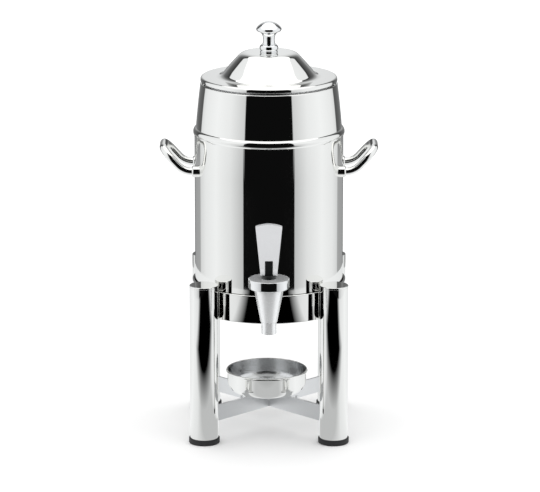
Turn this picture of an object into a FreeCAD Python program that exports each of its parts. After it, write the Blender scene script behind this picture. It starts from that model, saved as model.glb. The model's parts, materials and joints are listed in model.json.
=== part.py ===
import FreeCAD, Part
import math
import os
from collections import namedtuple

import Sketcher
from FreeCAD import Placement, Rotation, Vector

# A coffee urn that stands in a ring on four tube legs over a fuel bowl.
# Millimetres. The origin is on the floor under the urn's axis, +Z is up, and the faucet faces -Y.

SIZES = {
    # Legs and feet
    "leg_diameter": 38.1,
    "leg_wall": 1.5,
    "leg_rise": 9.3,
    "leg_cap_thickness": 2.5,
    "leg_cap_edge": 1.0,
    "leg_cap_plug": 9.0,
    "foot_diameter": 41.5,
    "foot_height": 7.3,
    "foot_edge": 1.5,
    "foot_plug": 14.0,
    "foot_recess_radius": 12.0,
    "foot_recess_depth": 1.5,
    "plug_clearance": 0.15,
    # Support ring and its screws
    "ring_base_height": 169.0,
    "ring_height": 38.0,
    "ring_wall": 2.5,
    "ring_clearance": 1.2,
    "ring_lip": 1.0,
    "ledge_width": 17.0,
    "ledge_thickness": 2.5,
    "leg_seat_gap": 0.1,
    "ring_screw_radius": 2.0,
    "ring_screw_head_radius": 3.75,
    "ring_screw_head_depth": 1.75,
    "ring_screw_reach": 6.0,
    "ring_screw_tip": 0.5,
    "ring_screw_inset": 10.0,
    "ring_screw_spacing": 19.0,
    "screw_clearance": 0.1,
    # Crossed plates
    "plate_base_height": 25.0,
    "plate_height": 22.0,
    "plate_thickness": 2.5,
    "plate_tenon": 4.0,
    "plate_clearance": 0.15,
    "tab_height": 4.0,
    "tab_width": 4.0,
    "tab_gap": 2.6,
    # Fuel bowl
    "bowl_radius": 53.7,
    "bowl_height": 31.0,
    "bowl_wall": 1.0,
    "bowl_corner": 15.0,
    "bowl_lip": 2.0,
    "bowl_shift": 2.9,
    "seat_gap": 0.2,
    # Vessel
    "body_radius": 100.0,
    "shell_wall": 1.2,
    "base_corner": 8.0,
    "bead_height": 239.4,
    "bead_half_width": 5.2,
    "bead_bow": 6.6,
    "shoulder_step": 2.0,
    "mouth_height": 304.9,
    "mouth_outer_radius": 92.0,
    "mouth_radius": 86.0,
    "mouth_corner": 2.2,
    "taper_bow": 1200.0,
    # Lid
    "lid_radius": 91.6,
    "lid_wall": 1.0,
    "lid_play": 1.0,
    "brim_height": 8.2,
    "brim_roll": 3.4,
    "brim_inner_radius": 70.7,
    "flare_run": 9.0,
    "flare_rise": 4.1,
    "flare_bow": 12.0,
    "flank_bow": 400.0,
    "dome_height": 33.2,
    "shoulder_radius": 41.4,
    "shoulder_drop": 5.7,
    "shoulder_bow": 16.0,
    "plateau_radius": 30.0,
    "plateau_drop": 0.3,
    "collar_depth": 16.4,
    "collar_wall": 1.0,
    "collar_flange": 9.0,
    "collar_seat_gap": 0.1,
    # Knob
    "knob_base_radius": 10.9,
    "knob_bulge_height": 8.8,
    "knob_bulge_bow": 5.2,
    "knob_neck_radius": 8.7,
    "knob_neck_length": 13.3,
    "knob_neck_bow": 17.0,
    "knob_throat_radius": 9.4,
    "knob_underside_radius": 15.0,
    "knob_underside_rise": 3.9,
    "knob_underside_bow": 8.0,
    "knob_head_radius": 16.0,
    "knob_head_edge": 5.4,
    "knob_edge_bow": 3.3,
    "knob_crown": 8.0,
    "knob_washer_radius": 11.8,
    "knob_washer_thickness": 1.6,
    "knob_screw_radius": 2.0,
    "knob_screw_depth": 12.0,
    "knob_screw_head_radius": 4.2,
    "knob_screw_head_height": 2.6,
    # Side handles
    "handle_height": 189.5,
    "handle_half_span": 31.3,
    "handle_rod_radius": 5.1,
    "handle_knee": 14.3,
    "handle_reach": 41.4,
    "handle_rise": 29.6,
    "handle_knee_bend": 25.0,
    "handle_tip_bend": 18.0,
    "ferrule_radius": 7.6,
    "ferrule_length": 8.0,
    "ferrule_bore_clearance": 0.1,
    "rod_end_gap": 1.8,
    "stud_radius": 3.0,
    "stud_clearance": 0.2,
    "stud_tip": 1.3,
    "saddle_radius": 8.0,
    "saddle_thickness": 7.0,
    "stud_nut_width": 10.0,
    "stud_nut_height": 5.0,
    "contact_gap": 0.05,
    # Faucet body and shank
    "shank_height": 45.3,
    "faucet_drop": 51.0,
    "nozzle_length": 16.5,
    "nozzle_radius": 10.25,
    "outlet_radius": 7.0,
    "cone_length": 44.0,
    "cone_foot_radius": 11.2,
    "cone_top_radius": 19.4,
    "neck_radius": 17.0,
    "neck_height": 6.0,
    "seat_height": 40.0,
    "chamber_radius": 13.5,
    "boss_radius": 9.0,
    "boss_length": 6.6,
    "boss_gap": 5.0,
    "shank_radius": 6.5,
    "shank_bore": 4.2,
    "shank_socket": 9.0,
    "shank_flange_radius": 9.3,
    "shank_flange_thickness": 3.0,
    "shank_tip": 2.0,
    "gasket_thickness": 4.0,
    "inner_gasket_radius": 13.0,
    "inner_gasket_thickness": 5.0,
    "shank_nut_width": 22.0,
    "shank_nut_height": 7.0,
    # Faucet bonnet, bushing and valve
    "bonnet_radius": 27.0,
    "bonnet_height": 14.5,
    "bonnet_foot_radius": 20.0,
    "bonnet_bevel": 1.8,
    "bonnet_edge": 1.0,
    "bonnet_top_wall": 3.0,
    "thread_clearance": 0.1,
    "spring_room_radius": 12.0,
    "bushing_radius": 9.5,
    "bushing_height": 4.5,
    "bushing_edge": 0.8,
    "stem_radius": 3.5,
    "stem_running_clearance": 0.08,
    "bonnet_hole_clearance": 0.7,
    "cup_radius": 11.0,
    "cup_height": 9.0,
    "cup_edge": 2.0,
    "cup_socket": 7.0,
    "spring_radius": 8.6,
    "spring_wire": 1.6,
    "spring_turns": 5.0,
    # Lever and what it turns on
    "lever_top_half_width": 17.5,
    "lever_foot_half_width": 11.75,
    "lever_fork_half_width": 11.4,
    "lever_foot_rise": 3.4,
    "lever_length": 63.6,
    "lever_crown": 3.4,
    "lever_crown_bow": 47.0,
    "lever_thickness": 11.0,
    "lever_edge": 1.6,
    "cam_radius": 5.0,
    "cam_lead": 3.5,
    "cam_trail": 0.5,
    "head_half_width": 5.0,
    "head_depth": 8.0,
    "head_rise": 13.0,
    "head_drop": 4.6,
    "head_edge": 0.8,
    "fork_clearance": 0.25,
    "slot_headroom": 1.8,
    "pin_radius": 1.5,
    "pin_running_clearance": 0.06,
    "pin_chamfer": 0.3,
    "pin_inset": 0.3,
    "stem_into_head": 9.8,
    "cut_margin": 0.5,
}

LEGS = {"front_left": 225, "front_right": 315, "rear_right": 45, "rear_left": 135}
SIDES = {"left": -1, "right": 1}
ENDS = {"front": -1, "rear": 1}
ALONG_X = Rotation(Vector(0, 1, 0), 90)
ALONG_Y = Rotation(Vector(1, 0, 0), -90)

doc = FreeCAD.newDocument("coffee_urn")
sheet = doc.addObject("Spreadsheet::Sheet", "Sizes")
for row, (size_name, size_value) in enumerate(SIZES.items(), start=1):
    sheet.set(f"A{row}", size_name)
    sheet.set(f"B{row}", str(size_value))
    sheet.setAlias(f"B{row}", size_name)
doc.recompute()

pieces = []


# Sizes that keep their sheet formula

class Size:
    """A length that keeps its number and the sheet formula that gives it."""

    def __init__(self, number, formula):
        self.number = number
        self.formula = formula

    def __add__(self, other):
        other = as_size(other)
        return Size(self.number + other.number, f"({self.formula} + {other.formula})")

    def __sub__(self, other):
        other = as_size(other)
        return Size(self.number - other.number, f"({self.formula} - {other.formula})")

    def __mul__(self, other):
        other = as_size(other)
        return Size(self.number * other.number, f"({self.formula} * {other.formula})")

    def __truediv__(self, other):
        other = as_size(other)
        return Size(self.number / other.number, f"({self.formula} / {other.formula})")

    def __neg__(self):
        return self * -1


class SizeBook:
    """Gives each named cell of the sheet as a Size."""

    def __getattr__(self, name):
        return Size(float(sheet.get(name)), f"Sizes.{name}")


def as_size(value):
    if isinstance(value, Size):
        return value
    return Size(float(value), f"({float(value)})")


def root(size):
    return Size(math.sqrt(size.number), f"sqrt({size.formula})")


def polar(radius, angle):
    """The two level coordinates of a point at a radius and an angle in degrees."""
    return radius * math.cos(math.radians(angle)), radius * math.sin(math.radians(angle))


def half_chord(radius, offset):
    """Distance from a circle's middle plane to its edge, at an offset from the centre."""
    return root(radius * radius - offset * offset)


dim = SizeBook()

# An arc to the next corner: its radius, and whether its centre lies left of the way along
Bow = namedtuple("Bow", "radius left")


def left(radius):
    return Bow(radius, True)


def right(radius):
    return Bow(radius, False)


# Sketches and features

def bind(thing, prop, size):
    size = as_size(size)
    setattr(thing, prop, size.number)
    thing.setExpression(prop, size.formula)


def put(thing, x=0, y=0, z=0, turned=Rotation()):
    """Place a piece, with each coordinate tied to the sheet."""
    spots = [as_size(value) for value in (x, y, z)]
    thing.Placement = Placement(Vector(*[spot.number for spot in spots]), turned)
    for axis, spot in zip("xyz", spots):
        thing.setExpression(f"Placement.Base.{axis}", spot.formula)
    return thing


def new_body(label):
    body = doc.addObject("PartDesign::Body", label)
    body.Label = label
    return body


def new_sketch(body, role):
    sketch = body.newObject("Sketcher::SketchObject", f"{body.Label}_sketch")
    plane = next(item for item in body.Origin.OriginFeatures if item.Role == role)
    sketch.AttachmentSupport = (plane, [""])
    sketch.MapMode = "FlatFace"
    return sketch


def tie(sketch, constraint, size):
    index = sketch.addConstraint(constraint)
    sketch.setExpression(f"Constraints[{index}]", size.formula)


def fix_point(sketch, edge, end, across, up):
    """Hold a point of the sketch at its two tied coordinates."""
    for kind, axis, value in (("DistanceX", -2, across), ("DistanceY", -1, up)):
        value = as_size(value)
        if abs(value.number) < 1e-9:
            sketch.addConstraint(Sketcher.Constraint("PointOnObject", edge, end, axis))
        elif value.number < 0:
            tie(sketch, Sketcher.Constraint(kind, edge, end, -1, 1, -value.number), -value)
        else:
            tie(sketch, Sketcher.Constraint(kind, -1, 1, edge, end, value.number), value)


def bow_edge(start, finish, bow):
    chord = finish - start
    half = chord.Length / 2
    radius = bow.radius.number
    leftward = Vector(-chord.y, chord.x, 0).normalize()
    towards_centre = leftward if bow.left else leftward * -1
    height = radius - math.sqrt(radius * radius - half * half)
    return Part.Arc(start, (start + finish) * 0.5 - towards_centre * height, finish)


def add_outline(sketch, corners):
    """Add a closed loop: each corner is (across, up), or (across, up, bow to the next corner)."""
    spots = [Vector(as_size(corner[0]).number, as_size(corner[1]).number, 0) for corner in corners]
    edges = []
    for place, corner in enumerate(corners):
        start = spots[place]
        finish = spots[(place + 1) % len(spots)]
        bowed = len(corner) == 3
        shape = bow_edge(start, finish, corner[2]) if bowed else Part.LineSegment(start, finish)
        edge = sketch.addGeometry(shape)
        first = 1 if sketch.getPoint(edge, 1).distanceToPoint(start) < 1e-6 else 2
        edges.append((edge, first, 3 - first))
    for place, corner in enumerate(corners):
        edge, first, last = edges[place]
        following = edges[(place + 1) % len(edges)]
        sketch.addConstraint(Sketcher.Constraint("Coincident", edge, last, following[0], following[1]))
        fix_point(sketch, edge, first, corner[0], corner[1])
        if len(corner) == 3:
            tie(sketch, Sketcher.Constraint("Radius", edge, corner[2].radius.number), corner[2].radius)


def add_circle(sketch, across, up, radius):
    centre = Vector(as_size(across).number, as_size(up).number, 0)
    edge = sketch.addGeometry(Part.Circle(centre, Vector(0, 0, 1), radius.number))
    fix_point(sketch, edge, 3, across, up)
    tie(sketch, Sketcher.Constraint("Radius", edge, radius.number), radius)


def add_block(sketch, half_width, low, high):
    add_outline(sketch, [(-half_width, low), (half_width, low), (half_width, high), (-half_width, high)])


def pad(body, sketch, length, both_ways=False):
    feature = body.newObject("PartDesign::Pad", f"{body.Label}_pad")
    feature.Profile = sketch
    feature.SideType = "Symmetric" if both_ways else "One side"
    bind(feature, "Length", length)
    return feature


def cut(body, sketch, length, both_ways=False, towards_normal=False):
    """Cut a sketch out of a body, and make sure that something was cut."""
    doc.recompute()
    before = body.Shape.Volume
    feature = body.newObject("PartDesign::Pocket", f"{body.Label}_cut")
    feature.Profile = sketch
    feature.SideType = "Symmetric" if both_ways else "One side"
    feature.Reversed = towards_normal
    bind(feature, "Length", length)
    doc.recompute()
    if not body.Shape.Volume < before:
        raise RuntimeError(f"{body.Label}: a cut removed nothing")
    return feature


def turn(label, corners):
    """A body turned about its own Z axis from a half outline."""
    body = new_body(label)
    sketch = new_sketch(body, "XZ_Plane")
    add_outline(sketch, corners)
    feature = body.newObject("PartDesign::Revolution", f"{label}_turning")
    feature.Profile = sketch
    feature.ReferenceAxis = (sketch, ["V_Axis"])
    feature.Angle = 360
    return body


def bore(body, radius, length, x=0, y=0, z=0, turned=Rotation()):
    feature = body.newObject("PartDesign::SubtractiveCylinder", f"{body.Label}_bore")
    bind(feature, "Radius", radius)
    bind(feature, "Height", length)
    put(feature, x, y, z, turned)
    return feature


def rod(label, radius, length, x=0, y=0, z=0, turned=Rotation()):
    shape = doc.addObject("Part::Cylinder", label)
    bind(shape, "Radius", radius)
    bind(shape, "Height", length)
    return put(shape, x, y, z, turned)


def combine(kind, label, base, tool):
    result = doc.addObject(kind, label)
    result.Label = label
    result.Base = base
    result.Tool = tool
    return result


def without(label, base, tool):
    return combine("Part::Cut", label, base, tool)


def within(label, base, tool):
    return combine("Part::Common", label, base, tool)


def keep(piece):
    pieces.append(piece)
    return piece


def group(label, template, placements):
    """Like solids of one kind, kept together as separate solids."""
    doc.recompute()
    copies = []
    for placement in placements:
        copy = template.Shape.copy()
        copy.Placement = placement
        copies.append(copy)
    feature = doc.addObject("Part::Feature", label)
    feature.Label = label
    feature.Shape = Part.makeCompound(copies)
    return keep(feature)


# Places that several pieces share

leg_radius = dim.leg_diameter / 2
leg_bore = leg_radius - dim.leg_wall
ring_inner = dim.body_radius + dim.ring_clearance
ring_outer = ring_inner + dim.ring_wall
leg_circle = ring_outer + dim.leg_seat_gap + leg_radius
leg_length = dim.ring_base_height + dim.ring_height + dim.leg_rise - dim.foot_height
ring_screw_heights = (dim.ring_screw_inset, dim.ring_screw_inset + dim.ring_screw_spacing)
ring_screw_hole = dim.ring_screw_radius + dim.screw_clearance
plate_top = dim.plate_base_height + dim.plate_height
urn_base = dim.ring_base_height + dim.ledge_thickness + dim.seat_gap
shell_inner = dim.body_radius - dim.shell_wall
lid_base = urn_base + dim.mouth_height + dim.seat_gap
brim_under = dim.brim_height - dim.lid_wall
plateau_height = dim.brim_height + dim.dome_height
knob_screw_hole = dim.knob_screw_radius + dim.screw_clearance
handle_z = urn_base + dim.handle_height
handle_knee_x = dim.body_radius + dim.handle_knee
handle_tip_x = dim.body_radius + dim.handle_reach
root_wall = half_chord(dim.body_radius, dim.handle_half_span)
root_inner = half_chord(shell_inner, dim.handle_half_span)
saddle_face = root_inner - dim.saddle_thickness
shank_z = urn_base + dim.shank_height
nozzle_z = shank_z - dim.faucet_drop
cone_top = dim.nozzle_length + dim.cone_length
chamber_top = cone_top + dim.neck_height
shank_hole = dim.shank_radius + dim.contact_gap
flange_face = dim.body_radius + dim.gasket_thickness
boss_reach = dim.cone_top_radius + dim.boss_length
faucet_reach = flange_face + dim.shank_flange_thickness + dim.boss_gap + boss_reach
inner_gasket_face = shell_inner - dim.inner_gasket_thickness
bonnet_z = nozzle_z + cone_top
bonnet_top = bonnet_z + dim.bonnet_height
cup_z = nozzle_z + dim.seat_height + dim.contact_gap
spring_low = cup_z + dim.cup_height + dim.contact_gap
spring_high = bonnet_top - dim.bonnet_top_wall - dim.contact_gap
bushing_top = bonnet_top + dim.bushing_height
pin_z = bushing_top + dim.cam_radius + dim.contact_gap
fork_gap = dim.head_half_width + dim.fork_clearance


# Stand

def leg_tube(name, angle):
    body = new_body(f"leg_tube_{name}")
    section = new_sketch(body, "XY_Plane")
    add_circle(section, 0, 0, leg_radius)
    add_circle(section, 0, 0, leg_bore)
    pad(body, section, leg_length)
    openings = new_sketch(body, "YZ_Plane")
    slot_low = dim.plate_base_height - dim.foot_height - dim.plate_clearance
    slot_high = plate_top - dim.foot_height + dim.plate_clearance
    add_block(openings, dim.plate_thickness / 2 + dim.plate_clearance, slot_low, slot_high)
    for height in ring_screw_heights:
        add_circle(openings, 0, dim.ring_base_height + height - dim.foot_height, ring_screw_hole)
    cut(body, openings, dim.leg_diameter, towards_normal=True)
    return stand_on_leg(body, angle, dim.foot_height)


def stand_on_leg(body, angle, height):
    """Put a piece on a leg's axis, with its own X towards the urn."""
    return put(body, *polar(leg_circle, angle), height, Rotation(Vector(0, 0, 1), angle + 180))


def leg_cap(name, angle):
    plug = leg_bore - dim.plug_clearance
    top = dim.leg_cap_plug + dim.leg_cap_thickness
    body = turn(f"leg_cap_{name}", [
        (0, 0),
        (plug, 0),
        (plug, dim.leg_cap_plug),
        (leg_radius, dim.leg_cap_plug),
        (leg_radius, top - dim.leg_cap_edge, left(dim.leg_cap_edge)),
        (leg_radius - dim.leg_cap_edge, top),
        (0, top),
    ])
    return stand_on_leg(body, angle, dim.foot_height + leg_length - dim.leg_cap_plug)


def rubber_foot(name, angle):
    plug = leg_bore - dim.plug_clearance
    radius = dim.foot_diameter / 2
    body = turn(f"rubber_foot_{name}", [
        (0, dim.foot_recess_depth),
        (dim.foot_recess_radius, dim.foot_recess_depth),
        (dim.foot_recess_radius, 0),
        (radius - dim.foot_edge, 0, left(dim.foot_edge)),
        (radius, dim.foot_edge),
        (radius, dim.foot_height),
        (plug, dim.foot_height),
        (plug, dim.foot_height + dim.foot_plug),
        (0, dim.foot_height + dim.foot_plug),
    ])
    return stand_on_leg(body, angle, as_size(0))


def support_ring():
    ledge_radius = ring_inner - dim.ledge_width
    body = turn("support_ring", [
        (ledge_radius, 0),
        (ring_outer, 0),
        (ring_outer, dim.ring_height - dim.ring_lip, left(dim.ring_lip)),
        (ring_outer - dim.ring_lip, dim.ring_height),
        (ring_inner, dim.ring_height),
        (ring_inner, dim.ledge_thickness),
        (ledge_radius, dim.ledge_thickness),
    ])
    taper = (dim.ring_screw_head_radius - dim.ring_screw_radius) / dim.ring_screw_head_depth
    doc.recompute()
    for angle in LEGS.values():
        outward = Rotation(Vector(0, 0, 1), angle).multiply(ALONG_X)
        for height in ring_screw_heights:
            start = ring_inner - dim.ring_wall
            bore(body, ring_screw_hole, dim.ring_wall * 3, *polar(start, angle), height, outward)
            sink = body.newObject("PartDesign::SubtractiveCone", "countersink")
            bind(sink, "Radius1", dim.ring_screw_head_radius + dim.screw_clearance + taper * dim.cut_margin)
            bind(sink, "Radius2", ring_screw_hole)
            bind(sink, "Height", dim.ring_screw_head_depth + dim.cut_margin)
            put(sink, *polar(ring_inner - dim.cut_margin, angle), height, outward)
    return put(body, 0, 0, dim.ring_base_height)


def ring_screws():
    length = dim.ring_wall + dim.leg_seat_gap + dim.leg_wall + dim.ring_screw_reach
    screw = turn("ring_screw", [
        (0, 0),
        (dim.ring_screw_head_radius, 0),
        (dim.ring_screw_radius, dim.ring_screw_head_depth),
        (dim.ring_screw_radius, length - dim.ring_screw_tip),
        (dim.ring_screw_radius - dim.ring_screw_tip, length),
        (0, length),
    ])
    places = []
    for angle in LEGS.values():
        about = Rotation(Vector(0, 0, 1), angle)
        for height in ring_screw_heights:
            level = dim.ring_base_height.number + height.number
            spot = about.multVec(Vector(ring_inner.number, 0, level))
            places.append(Placement(spot, about.multiply(ALONG_X)))
    return group("ring_screws", screw, places)


def cross_plate(label, angle, lapped_from_top):
    """A plate on edge from leg to leg, slotted halfway where the other one crosses it."""
    reach = leg_circle - leg_bore + dim.plate_tenon
    lap = dim.plate_thickness / 2 + dim.plate_clearance
    middle = dim.plate_height / 2
    top = dim.plate_height
    bend = dim.bowl_corner - dim.tab_height
    bowl_at_tab = dim.bowl_radius - dim.bowl_corner + half_chord(dim.bowl_corner, bend)
    tab_near = bowl_at_tab + dim.tab_gap
    tab_far = tab_near + dim.tab_width
    tab_top = top + dim.tab_height
    under = [(-reach, 0), (reach, 0)]
    over = [(reach, top), (tab_far, top), (tab_far, tab_top), (tab_near, tab_top), (tab_near, top)]
    mirrored = [(-across, up) for across, up in reversed(over)]
    if lapped_from_top:
        slot = [(lap, top), (lap, middle), (-lap, middle), (-lap, top)]
        corners = under + over + slot + mirrored
    else:
        slot = [(-lap, 0), (-lap, middle + dim.plate_clearance), (lap, middle + dim.plate_clearance), (lap, 0)]
        corners = under[:1] + slot + under[1:] + over + mirrored
    body = new_body(label)
    side = new_sketch(body, "XZ_Plane")
    add_outline(side, corners)
    pad(body, side, dim.plate_thickness, both_ways=True)
    return put(body, 0, 0, dim.plate_base_height, Rotation(Vector(0, 0, 1), angle))


def fuel_bowl():
    inside = dim.bowl_radius - dim.bowl_wall
    flat = dim.bowl_radius - dim.bowl_corner
    body = turn("fuel_bowl", [
        (0, 0),
        (flat, 0, left(dim.bowl_corner)),
        (dim.bowl_radius, dim.bowl_corner),
        (dim.bowl_radius, dim.bowl_height - dim.bowl_lip * 2, left(dim.bowl_lip)),
        (dim.bowl_radius + dim.bowl_lip, dim.bowl_height - dim.bowl_lip, left(dim.bowl_lip)),
        (dim.bowl_radius, dim.bowl_height),
        (inside, dim.bowl_height),
        (inside, dim.bowl_corner, right(dim.bowl_corner - dim.bowl_wall)),
        (flat, dim.bowl_wall),
        (0, dim.bowl_wall),
    ])
    return put(body, -dim.bowl_shift, 0, plate_top + dim.seat_gap)


# Vessel and side handles

def urn_shell():
    wall = dim.shell_wall
    outer = dim.body_radius
    shoulder = outer - dim.shoulder_step
    bead_low = dim.bead_height - dim.bead_half_width
    bead_high = dim.bead_height + dim.bead_half_width
    top = dim.mouth_height
    corner = dim.mouth_corner
    body = turn("urn_shell", [
        (0, 0),
        (outer - dim.base_corner, 0, left(dim.base_corner)),
        (outer, dim.base_corner),
        (outer, bead_low, left(dim.bead_bow)),
        (shoulder, bead_high, left(dim.taper_bow)),
        (dim.mouth_outer_radius, top - corner, left(corner)),
        (dim.mouth_outer_radius - corner, top),
        (dim.mouth_radius, top),
        (dim.mouth_radius, top - wall),
        (dim.mouth_outer_radius - corner, top - wall, right(corner - wall)),
        (dim.mouth_outer_radius - wall, top - corner, right(dim.taper_bow)),
        (shoulder - wall, bead_high, right(dim.bead_bow)),
        (outer - wall, bead_low),
        (outer - wall, dim.base_corner, right(dim.base_corner - wall)),
        (outer - dim.base_corner, wall),
        (0, wall),
    ])
    front = new_sketch(body, "XZ_Plane")
    add_circle(front, 0, dim.shank_height, dim.shank_radius + dim.screw_clearance)
    cut(body, front, dim.body_radius * 2, towards_normal=True)
    sides = new_sketch(body, "YZ_Plane")
    for end in ENDS.values():
        add_circle(sides, dim.handle_half_span * end, dim.handle_height, dim.stud_radius + dim.stud_clearance)
    cut(body, sides, dim.body_radius * 3, both_ways=True)
    return put(body, 0, 0, urn_base)


def rounded_path(corners, bends):
    """A wire of straight runs joined by tangent arcs at its inner corners."""
    edges = []
    here = corners[0]
    for before, corner, after, bend in zip(corners, corners[1:], corners[2:], bends):
        come = (before - corner).normalize()
        leave = (after - corner).normalize()
        half_turn = (math.pi - come.getAngle(leave)) / 2
        setback = bend * math.tan(half_turn)
        inward = (come + leave).normalize()
        start = corner + come * setback
        finish = corner + leave * setback
        middle = corner + inward * (bend / math.cos(half_turn) - bend)
        edges.append(Part.LineSegment(here, start).toShape())
        edges.append(Part.Arc(start, middle, finish).toShape())
        here = finish
    edges.append(Part.LineSegment(here, corners[-1]).toShape())
    return Part.Wire(edges)


def side_handle(name, side):
    rod_end = root_wall + dim.rod_end_gap
    low = handle_z.number
    high = (handle_z + dim.handle_rise).number
    span = dim.handle_half_span.number
    corners = [
        Vector(side * rod_end.number, -span, low),
        Vector(side * handle_knee_x.number, -span, low),
        Vector(side * handle_tip_x.number, -span, high),
        Vector(side * handle_tip_x.number, span, high),
        Vector(side * handle_knee_x.number, span, low),
        Vector(side * rod_end.number, span, low),
    ]
    knee = dim.handle_knee_bend.number
    tip = dim.handle_tip_bend.number
    path = doc.addObject("Part::Feature", f"handle_path_{name}")
    path.Shape = rounded_path(corners, [knee, tip, tip, knee])
    section = doc.addObject("Part::Circle", f"handle_section_{name}")
    bind(section, "Radius", dim.handle_rod_radius)
    put(section, rod_end * side, -dim.handle_half_span, handle_z, ALONG_X)
    loop = doc.addObject("Part::Sweep", f"handle_loop_{name}")
    loop.Sections = [section]
    loop.Spine = (path, [])
    loop.Solid = True
    stud_end = saddle_face - dim.stud_nut_height - dim.stud_tip
    parts = [loop]
    for end_name, end in ENDS.items():
        near = stud_end if side > 0 else -(rod_end + dim.cut_margin)
        stud = rod(f"stud_{name}_{end_name}", dim.stud_radius, rod_end + dim.cut_margin - stud_end,
                   near, dim.handle_half_span * end, handle_z, ALONG_X)
        parts.append(stud)
    handle = doc.addObject("Part::MultiFuse", f"side_handle_{name}")
    handle.Label = f"side_handle_{name}"
    handle.Shapes = parts
    return handle


def handle_ferrule(name, side, end_name, end):
    """A collar round a handle root, shaped to the vessel's wall."""
    tag = f"{end_name}_{name}"
    y = dim.handle_half_span * end
    outer_face = root_wall + dim.ferrule_length
    length = dim.ferrule_length + dim.saddle_radius * 2
    near = outer_face - length if side > 0 else -outer_face
    collar = rod(f"collar_{tag}", dim.ferrule_radius, length, near, y, handle_z, ALONG_X)
    hole = rod(f"collar_bore_{tag}", dim.handle_rod_radius + dim.ferrule_bore_clearance, length * 3,
               near - length, y, handle_z, ALONG_X)
    ring = without(f"collar_ring_{tag}", collar, hole)
    wall = rod(f"collar_wall_{tag}", dim.body_radius + dim.contact_gap, dim.ferrule_radius * 4,
               0, 0, handle_z - dim.ferrule_radius * 2)
    return without(f"handle_ferrule_{tag}", ring, wall)


def handle_fixings():
    """Saddle washers and nuts on the handle studs, inside the vessel."""
    blank = rod("saddle_blank", dim.saddle_radius, dim.saddle_thickness * 2,
                saddle_face, dim.handle_half_span, 0, ALONG_X)
    inside = rod("saddle_wall", shell_inner - dim.contact_gap, dim.saddle_radius * 4,
                 0, 0, -dim.saddle_radius * 2)
    hole = rod("saddle_hole", dim.stud_radius + dim.contact_gap, dim.saddle_thickness * 4,
               saddle_face - dim.saddle_thickness, dim.handle_half_span, 0, ALONG_X)
    saddle = without("saddle", within("saddle_fitted", blank, inside), hole)
    hexagon = doc.addObject("Part::Prism", "stud_nut_blank")
    hexagon.Polygon = 6
    bind(hexagon, "Circumradius", dim.stud_nut_width / math.sqrt(3))
    bind(hexagon, "Height", dim.stud_nut_height)
    put(hexagon, saddle_face - dim.stud_nut_height, dim.handle_half_span, 0, ALONG_X)
    nut_hole = rod("stud_nut_hole", dim.stud_radius + dim.contact_gap, dim.stud_nut_height * 3,
                   saddle_face - dim.stud_nut_height * 2, dim.handle_half_span, 0, ALONG_X)
    nut = without("stud_nut", hexagon, nut_hole)
    spots = [Placement(Vector(0, 0, handle_z.number), Rotation(Vector(0, 0, 1), turn_by))
             for turn_by in (0, 180)]
    doc.recompute()
    for label, template in (("handle_saddle_washers", saddle), ("handle_nuts", nut)):
        mirrored = template.Shape.mirror(Vector(0, 0, 0), Vector(0, 1, 0))
        pair = doc.addObject("Part::Feature", f"{label}_pair")
        pair.Shape = Part.makeCompound([template.Shape, mirrored])
        group(label, pair, spots)


# Faucet

def faucet_body():
    body = turn("faucet_body", [
        (0, 0),
        (dim.nozzle_radius, 0),
        (dim.nozzle_radius, dim.nozzle_length),
        (dim.cone_foot_radius, dim.nozzle_length),
        (dim.cone_top_radius, cone_top),
        (dim.neck_radius, cone_top),
        (dim.neck_radius, chamber_top),
        (0, chamber_top),
    ])
    doc.recompute()
    boss = body.newObject("PartDesign::AdditiveCylinder", "shank_boss")
    bind(boss, "Radius", dim.boss_radius)
    bind(boss, "Height", boss_reach)
    put(boss, 0, 0, dim.faucet_drop, ALONG_Y)
    bore(body, dim.chamber_radius, dim.neck_height + cone_top - dim.seat_height + dim.cut_margin,
         0, 0, dim.seat_height)
    bore(body, dim.outlet_radius, dim.seat_height + dim.cut_margin * 2, 0, 0, -dim.cut_margin)
    bore(body, shank_hole, dim.shank_socket + dim.cut_margin,
         0, boss_reach - dim.shank_socket, dim.faucet_drop, ALONG_Y)
    bore(body, dim.shank_bore, boss_reach, 0, 0, dim.faucet_drop, ALONG_Y)
    return put(body, 0, -faucet_reach, nozzle_z)


def faucet_shank():
    start = faucet_reach - boss_reach + dim.shank_socket - dim.contact_gap
    flange_start = start - flange_face - dim.shank_flange_thickness
    flange_end = start - flange_face
    length = start - inner_gasket_face + dim.shank_nut_height + dim.shank_tip
    body = turn("faucet_shank", [
        (dim.shank_bore, 0),
        (dim.shank_radius, 0),
        (dim.shank_radius, flange_start),
        (dim.shank_flange_radius, flange_start),
        (dim.shank_flange_radius, flange_end),
        (dim.shank_radius, flange_end),
        (dim.shank_radius, length),
        (dim.shank_bore, length),
    ])
    return put(body, 0, -start, shank_z, ALONG_Y)


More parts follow.
